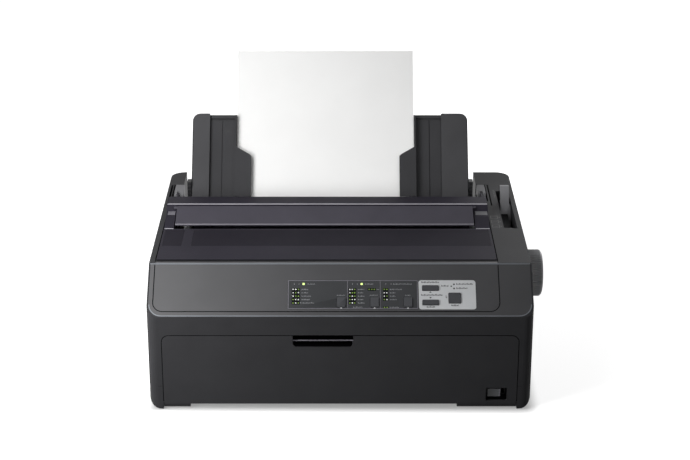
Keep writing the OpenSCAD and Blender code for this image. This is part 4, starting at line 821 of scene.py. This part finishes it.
@dataclass
class DoorDress:
    """Round bay corners behind the front cover, painted shade in the gap round it, and its finger recess."""

    side: float = 189.8
    top: float = 87.8
    low: float = 10.0
    radius: float = 8.0
    gap_w: float = 0.9
    overlap: float = 0.3
    grip: Rect = (-50.5, 74.4, 14.1, 87.3)
    grip_cut: Point = (3.3, 3.5)
    grip_over: float = 0.1
    grip_floor: float = 1.9
    ground_in: float = 0.6
    ground_top_in: float = 0.2
    lip_z: Point = (80.9, 81.6)

    def build(self) -> None:
        """Builds corners, gap and recess."""
        self._bay()
        self._recess()

    def _bay(self) -> None:
        """Fills the bay's upper corners and paints shade, a black strip, into the gap round the cover."""
        r, u, v = self.radius, self.side - self.radius, self.top - self.radius
        left, right = arc_points(-u, v, r, 180, 90), arc_points(u, v, r, 90, 0)
        x, z = self.side + self.overlap, self.top + self.overlap
        corners = Relief("bay_corners", Surface.FRONT, base=-2.8, height=2.75)
        corners.poly([(x, z), *right, (x, v)])
        corners.poly([(-x, z), (-x, v), *left])
        corners.build(CASE, "chassis")
        # Painted shade: a black strip in the gap round the front cover.
        gap = Relief("door_seam", Surface.FRONT, base=-2.2, height=2.24)
        gap.path([(-self.side, self.low), *left, *right, (self.side, self.low)], self.gap_w)
        gap.build(GAP_SHADE, "chassis")

    def _recess(self) -> None:
        """Paints shade into the finger recess, slants its lower corners and adds its lip, painted light."""
        x0, z0, x1, z1 = self.grip
        # Painted shade: black plates on the back and the floor of the finger recess.
        ground = Relief("grip_ground", Surface.FRONT, base=-10.1, height=0.3)
        inset = self.ground_in
        ground.rect(x0 + inset, z0 + inset, x1 - inset, z1 - self.ground_top_in)
        ground.build(GAP_SHADE, "front_door")
        floor = Relief("grip_floor", Surface.FRONT, base=-10.0, height=9.3)
        floor.rect(x0, z0, x1, z0 + self.grip_floor)
        floor.build(GAP_SHADE, "front_door")
        x0, z0, x1 = x0 - self.grip_over, z0 - self.grip_over, x1 + self.grip_over
        across, up = self.grip_cut
        corners = Relief("grip_corners", Surface.FRONT, base=-9.8, height=9.8)
        corners.poly([(x0, z0), (x0 + across, z0), (x0, z0 + up)])
        corners.poly([(x1, z0), (x1, z0 + up), (x1 - across, z0)])
        corners.build(DOOR, "front_door")
        # Painted highlight: a light lip across the recess.
        lip = Relief("grip_lip", Surface.FRONT, base=-3.4, height=2.2)
        lip.rect(x0, self.lip_z[0], x1, self.lip_z[1])
        lip.build(DIM_SHEEN_AND_INK, "front_door")


@dataclass
class LowerFront:
    """The rocker's raised face, and painted shade under the belly and in the case seam beside the front
    cover.
    """

    belly_shade: Rect = (-161.0, 1.9, 125.4, 8.0)
    face: Rect = (158.4, 13.4, 172.2, 22.8)
    shine_x: Point = (170.6, 171.9)
    shine_in: float = 0.5
    seam_x: Point = (190.1, 195.0)
    seam_z: Point = (27.75, 28.15)

    def build(self) -> None:
        """Builds the belly's shade, the rocker's face and painted highlight, and the seam's shade."""
        # Painted shade: a black strip under the belly, where its shadow falls.
        belly_shade = Relief("belly_painted_shade", Surface.FRONT, base=-13.5, height=1.5)
        belly_shade.rect(*self.belly_shade)
        belly_shade.build(GAP_SHADE, "chassis")
        rocker = Relief("rocker_face", Surface.FRONT, base=-11.0, height=6.6)
        rocker.rect(*self.face)
        rocker.build(ROCKER, "rocker")
        # Painted highlight: a light strip along the rocker's right edge.
        shine = Relief("rocker_shine", Surface.FRONT, base=-4.4, height=0.1)
        low, high = self.face[1] + self.shine_in, self.face[3] - self.shine_in
        shine.rect(self.shine_x[0], low, self.shine_x[1], high)
        shine.build(DIM_SHEEN_AND_INK, "rocker")
        (x0, x1), (z0, z1) = self.seam_x, self.seam_z
        # Painted shade: black strips in the case seam on both sides of the front cover.
        seam = Relief("case_seam", Surface.FRONT, base=-0.4, height=0.42)
        seam.rect(-x1, z0, -x0, z1).rect(x0, z0, x1, z1)
        seam.build(GAP_SHADE, "chassis")


@dataclass
class GuideBearings:
    """Ribbed bearing blocks on the outer sides of the hoods, at the pins of the paper guide."""

    y0: float = 253.0
    y1: float = 263.0
    z0: float = 145.0
    z1: float = 168.0
    width: float = 5.0
    left_x: float = -179.9
    right_x: float = 151.1
    ribs: int = 5
    rib_out: float = 1.2
    rib_gap: float = 0.8
    rib_in: float = 0.4

    def build(self) -> None:
        """Builds the left and the right block."""
        step = (self.z1 - self.z0) / self.ribs
        for name, x0 in (("left", self.left_x), ("right", self.right_x)):
            x1 = x0 + self.width
            block = Relief(f"guide_bearing_{name}", Surface.FRONT, base=-self.y1, height=self.y1 - self.y0)
            block.rect(x0, self.z0, x1, self.z1)
            block.build(PRINT_DARK, "guide")
            ribs = Relief(f"guide_bearing_ribs_{name}", Surface.FRONT, base=-self.y0, height=self.rib_out)
            for k in range(self.ribs):
                low = self.z0 + k * step + self.rib_gap
                ribs.rect(x0 + self.rib_in, low, x1 - self.rib_in, low + step - 2 * self.rib_gap)
            ribs.build(MECH, "guide")


@dataclass
class EdgeSheen:
    """Painted highlights on the rounded edges: ridge and wedges of the cover, flap and top of the panel."""

    lid: Point = (-197.6, 168.2)
    flap: Point = (-185.8, 150.8)
    panel: Point = (-203.6, 203.6)
    left_wedge: Point = (-197.4, -187.6)
    right_wedge: Point = (152.8, 168.0)
    face_in: Point = (1.2, 0.4)

    def build(self) -> None:
        """Builds all edges."""
        ridge = ((191.2, 163.1), (192.2, 163.4), (193.2, 163.5))
        Band("ridge_edge", *self.lid, ridge).build(SHEEN, "top_lid")
        lip = ((154.95, 152.6), (155.6, 153.15), (156.6, 153.25))
        Band("flap_edge", *self.flap, lip).build(DIM_SHEEN_AND_INK, "flap")
        crest = ((48.7, 149.05), (49.4, 149.5), (50.2, 149.85))
        Band("panel_ridge", *self.panel, crest).build(SHEEN_COOL, "chassis")
        edge = ((147.9, 150.3), (149.0, 150.7))
        face = ((176.0, 156.2), (188.6, 157.0))
        # Painted highlights on the flat faces of the wedges, the right one in the hinge posts' grey.
        wedges = ((1, self.left_wedge, DIM_SHEEN_AND_INK), (2, self.right_wedge, POST))
        for number, (x0, x1), finish in wedges:
            Band(f"wedge_edge_{number}", x0, x1, edge).build(SHEEN, "top_lid")
            x0, x1 = x0 + self.face_in[0], x1 - self.face_in[1]
            Band(f"wedge_face_{number}", x0, x1, face).build(finish, "top_lid")


@dataclass
class GuideMarks:
    """Printed scale and mark on the edge guides, and black lines of painted shade along the hoods."""

    hood_lift: float = 4.0
    plate_lift: float = 0.07
    ink: float = 0.06
    scale_x: float = 92.0
    scale_low: float = 39.0
    ticks: int = 9
    tick_step: float = 2.1
    tick_w: float = 0.35
    tall_tick: float = 3.2
    short_tick: float = 1.8
    scale_line: Point = (0.5, 0.2)
    line_over: float = 0.4
    hood_head: float = 95.0
    rim_w: float = 0.7
    left_rim: float = -174.9
    right_rim: float = 151.1
    groove: Rect = (-160.2, 0.0, -158.9, 95.6)

    def build(self) -> None:
        """Builds scale, mark, rims and groove."""
        scale = Relief("guide_scale", Surface.GUIDE, base=0.0, height=self.ink)
        for k in range(self.ticks):
            x, tall = self.scale_x + k * self.tick_step, self.short_tick
            if k == self.ticks // 2:
                tall = self.tall_tick
            scale.rect(x, self.scale_low, x + self.tick_w, self.scale_low + tall)
        end = self.scale_x + (self.ticks - 1) * self.tick_step + self.line_over
        low, high = (self.scale_low - drop for drop in self.scale_line)
        scale.rect(self.scale_x, low, end, high)
        scale.build(PRINT_DARK, "right_edge")
        mark = Relief("guide_mark", Surface.GUIDE, base=0.0, height=self.ink)
        mark.poly([(-136.5, 79.0), (-132.5, 81.2), (-136.5, 83.4)]).rect(-131.9, 79.8, -130.2, 83.4)
        mark.build(PRINT_DARK, "left_edge")
        # Painted shade: black lines along the outer edges of the hoods.
        rims = Relief("hood_rims", Surface.GUIDE, base=self.hood_lift, height=self.ink)
        rims.rect(self.left_rim, 0.0, self.left_rim + self.rim_w, self.hood_head)
        rims.rect(self.right_rim - self.rim_w, 0.0, self.right_rim, self.hood_head)
        rims.build(GAP_SHADE, "guide")
        # Painted shade: a black line in the groove beside the left hood.
        groove = Relief("hood_groove", Surface.GUIDE, base=self.plate_lift, height=self.ink)
        groove.rect(*self.groove)
        groove.build(GAP_SHADE, "guide")


@dataclass
class LeverIcons:
    """Printed symbols beside the release lever: sheets of three kinds, and a row of marks behind them."""

    ink: float = 0.06
    left: float = 171.6
    wide: float = 8.6
    tall: float = 9.6
    line_w: float = 0.9
    stroke_in: float = 1.8
    stroke_y: Point = (2.4, 4.6)
    stroke_step: Point = (2.0, 1.0)
    tab_x: Point = (0.9, 2.4)
    tab_y: Point = (3.0, 5.8)
    rows: tuple[float, ...] = (152.0, 166.0, 180.0)
    marks: int = 5
    marks_at: Point = (181.2, 249.0)
    mark_step: float = 5.4
    mark_tall: float = 3.0
    mark_w: Point = (1.4, 2.3)

    def build(self) -> None:
        """Builds the symbols in a row from front to rear."""
        icons = Relief("lever_icons", Surface.TOP, base=0.0, height=self.ink)
        right = self.left + self.wide
        (low, high), (low_step, high_step) = self.stroke_y, self.stroke_step
        for k, y in enumerate(self.rows):
            icons.frame_lines(self.left, y, right, y + self.tall, self.line_w)
            start = (self.left + self.stroke_in, y + low + k * low_step)
            end = (right - self.stroke_in, y + high + k * high_step)
            icons.path([start, end], self.line_w)
            icons.rect(right + self.tab_x[0], y + self.tab_y[0], right + self.tab_x[1], y + self.tab_y[1])
        x, y = self.marks_at
        for k in range(self.marks):
            low = y + k * self.mark_step
            icons.rect(x, low, x + self.mark_w[k % 2], low + self.mark_tall)
        icons.build(PRINT_DARK, "chassis")


# ---------- studio ----------


@dataclass(frozen=True)
class Lamp:
    """A soft area lamp: its place, size and aim in metres, power in watts, and beam angle in degrees."""

    name: str
    at: tuple[float, float, float]
    size: Point
    power: float
    aim: tuple[float, float, float] = (0.0, 0.0, 0.1)
    spread: float = 180.0

    def build(self) -> None:
        """Sets up the lamp, out of the camera's sight."""
        data = bpy.data.lights.new(self.name, "AREA")
        data.shape = "RECTANGLE"
        data.size, data.size_y = self.size
        data.energy = self.power
        data.spread = math.radians(self.spread)
        lamp = bpy.data.objects.new(self.name, data)
        lamp.location = self.at
        lamp.visible_camera = False
        way = Vector(self.aim) - Vector(self.at)
        lamp.rotation_euler = way.to_track_quat("-Z", "Y").to_euler()
        bpy.context.scene.collection.objects.link(lamp)


LAMPS = (
    Lamp("key", (-0.44, -0.42, 0.28), (0.33, 0.33), 2.9),
    Lamp("top", (-0.42, -0.25, 0.75), (0.6, 0.4), 3.0, (-0.15, -0.15, 0.1)),
    Lamp("hood", (-0.3, -0.6, 0.55), (0.1, 0.1), 0.006, (-0.145, 0.12, 0.3), 20.0),
    Lamp("rear", (0.7, 1.0, 0.45), (0.6, 0.5), 6.0),
    Lamp("sheet", (0.5, -1.2, 1.0), (0.3, 0.3), 0.1, (0.08, 0.12, 0.24), 24.0),
)


@dataclass
class Studio:
    """Pale floor, white surroundings, soft lights and the camera. Lengths are in metres."""

    camera_z: float = 0.8795
    camera_back: float = 1.6785
    elevation: float = 21.8
    lens: float = 91.3
    shift: float = 0.007
    floor_size: float = 14.0
    floor_grey: float = 0.86
    dull_grey: float = 0.1
    glow_near: float = 0.78
    glow_far: float = 0.97
    glow_reach: Point = (0.3, 1.0)
    case_middle: Point = (-0.01, -0.0103)
    case_half: Point = (0.199, 0.164)
    contact_reach: float = 0.02
    contact_depth: float = 0.62
    ceiling_from: float = 0.55
    ceiling_to: float = 0.85
    ceiling_grey: float = 0.22
    ambient: float = 0.1

    def build(self) -> None:
        """Builds floor, world, lights and camera."""
        self._floor()
        self._world()
        for lamp in LAMPS:
            lamp.build()
        self._camera()
        bpy.context.scene.view_settings.view_transform = "Standard"

    def _floor(self) -> None:
        """A wide pale floor that reads as white away from the painted contact shadow."""
        bpy.ops.mesh.primitive_plane_add(size=self.floor_size, location=(0, 0, 0))
        floor = bpy.context.object
        floor.name = "floor"
        made = bpy.data.materials.new("floor_white")
        made.use_nodes = True
        tree = made.node_tree
        tree.nodes.clear()
        white, grey = ((share, share, share, 1.0) for share in (self.floor_grey, self.dull_grey))
        matt = node(tree, "ShaderNodeBsdfDiffuse", {"Color": white})
        glow = node(tree, "ShaderNodeEmission", {"Strength": self._glow_strength(tree)})
        total = node(tree, "ShaderNodeAddShader", {0: matt.outputs[0], 1: glow.outputs[0]})
        dull = node(tree, "ShaderNodeBsdfDiffuse", {"Color": grey})
        # Painted contact shadow: the floor turns to dull grey near the case.
        shadow, seen = self._contact(tree), self._seen_rays(tree)
        ground = node(tree, "ShaderNodeMixShader", {0: shadow, 1: total.outputs[0], 2: dull.outputs[0]})
        pick = node(tree, "ShaderNodeMixShader", {0: seen, 1: dull.outputs[0], 2: ground.outputs[0]})
        node(tree, "ShaderNodeOutputMaterial", {"Surface": pick.outputs[0]})
        floor.data.materials.append(made)

    def _glow_strength(self, tree: Tree) -> Socket:
        """Glow of the floor, less of it near the object: painted shade there, which also lets the shadow
        show.

        Args:
            tree: The node tree to add to.

        Returns:
            The socket with the strength.
        """
        coords = node(tree, "ShaderNodeTexCoord").outputs["Object"]
        away = node(tree, "ShaderNodeVectorMath", {0: coords}, operation="LENGTH").outputs["Value"]
        limits = {"From Min": self.glow_reach[0], "From Max": self.glow_reach[1]}
        levels = {"To Min": self.glow_near, "To Max": self.glow_far}
        return node(tree, "ShaderNodeMapRange", {"Value": away, **limits, **levels}).outputs["Result"]

    def _contact(self, tree: Tree) -> Socket:
        """Share of the painted contact shadow, from its full depth under the case to nothing a short way off.

        Args:
            tree: The node tree to add to.

        Returns:
            The socket with the share.
        """
        last = node(tree, "ShaderNodeTexCoord").outputs["Object"]
        steps = (
            ("SUBTRACT", (*self.case_middle, 0.0)),
            ("ABSOLUTE", (0.0, 0.0, 0.0)),
            ("SUBTRACT", (*self.case_half, 1.0)),
            ("MAXIMUM", (0.0, 0.0, 0.0)),
        )
        for operation, value in steps:
            step = node(tree, "ShaderNodeVectorMath", {0: last, 1: value}, operation=operation)
            last = step.outputs["Vector"]
        away = node(tree, "ShaderNodeVectorMath", {0: last}, operation="LENGTH").outputs["Value"]
        levels = {"From Max": self.contact_reach, "To Min": self.contact_depth, "To Max": 0.0}
        fade = node(tree, "ShaderNodeMapRange", {"Value": away, **levels}, interpolation_type="SMOOTHSTEP")
        return fade.outputs["Result"]

    def _seen_rays(self, tree: Tree) -> Socket:
        """One for rays from the camera and for those that a glossy or clear surface sends on, else zero.

        Args:
            tree: The node tree to add to.

        Returns:
            The socket with the value.
        """
        rays = node(tree, "ShaderNodeLightPath").outputs
        last = rays["Is Camera Ray"]
        for kind in ("Is Glossy Ray", "Is Transmission Ray"):
            last = node(tree, "ShaderNodeMath", {0: last, 1: rays[kind]}, operation="MAXIMUM").outputs[0]
        return last

    def _world(self) -> None:
        """White horizon and dim ceiling where they are seen or reflected, and a soft grey as light."""
        world = bpy.data.worlds.new("surroundings")
        bpy.context.scene.world = world
        world.use_nodes = True
        tree = world.node_tree
        tree.nodes.clear()
        coords = node(tree, "ShaderNodeTexCoord").outputs["Generated"]
        height = node(tree, "ShaderNodeSeparateXYZ", {0: coords}).outputs["Z"]
        ceiling = node(tree, "ShaderNodeValToRGB", {"Fac": height})
        stops = ((self.ceiling_from, 1.0), (self.ceiling_to, self.ceiling_grey))
        for stop, (at, share) in zip(ceiling.color_ramp.elements, stops):
            stop.position = at
            stop.color = (share, share, share, 1.0)
        show = node(tree, "ShaderNodeBackground", {"Color": ceiling.outputs["Color"], "Strength": 1.0})
        cast = node(tree, "ShaderNodeBackground", {"Color": (1.0, 1.0, 1.0, 1.0), "Strength": self.ambient})
        seen = self._seen_rays(tree)
        pick = node(tree, "ShaderNodeMixShader", {0: seen, 1: cast.outputs[0], 2: show.outputs[0]})
        node(tree, "ShaderNodeOutputWorld", {"Surface": pick.outputs[0]})

    def _camera(self) -> None:
        """The camera at the photograph's height, distance and angle."""
        data = bpy.data.cameras.new("camera")
        data.lens = self.lens
        data.sensor_width = 36.0
        data.shift_x = self.shift
        data.clip_end = 50.0
        camera = bpy.data.objects.new("camera", data)
        camera.location = (-ORIGIN_X * MM, -self.camera_back - ORIGIN_Y * MM, self.camera_z)
        camera.rotation_euler = Euler((math.radians(90 - self.elevation), 0, 0))
        bpy.context.scene.collection.objects.link(camera)
        bpy.context.scene.camera = camera


def main() -> None:
    """Dresses the frame, adds the pieces and sets up the studio."""
    logging.basicConfig(level=logging.INFO, format="%(name)s: %(message)s")
    CadDresser().dress()
    PanelLegends().build()
    EdgeSheen().build()
    border = PanelBorder()
    seams = LidSeams()
    border.build_gap()
    seams.build_gaps()
    border.build_border()
    seams.build_shade()
    DoorDress().build()
    LowerFront().build()
    GuideBearings().build()
    GuideMarks().build()
    LeverIcons().build()
    Studio().build()
    bpy.context.view_layer.update()


if __name__ == "__main__":
    main()
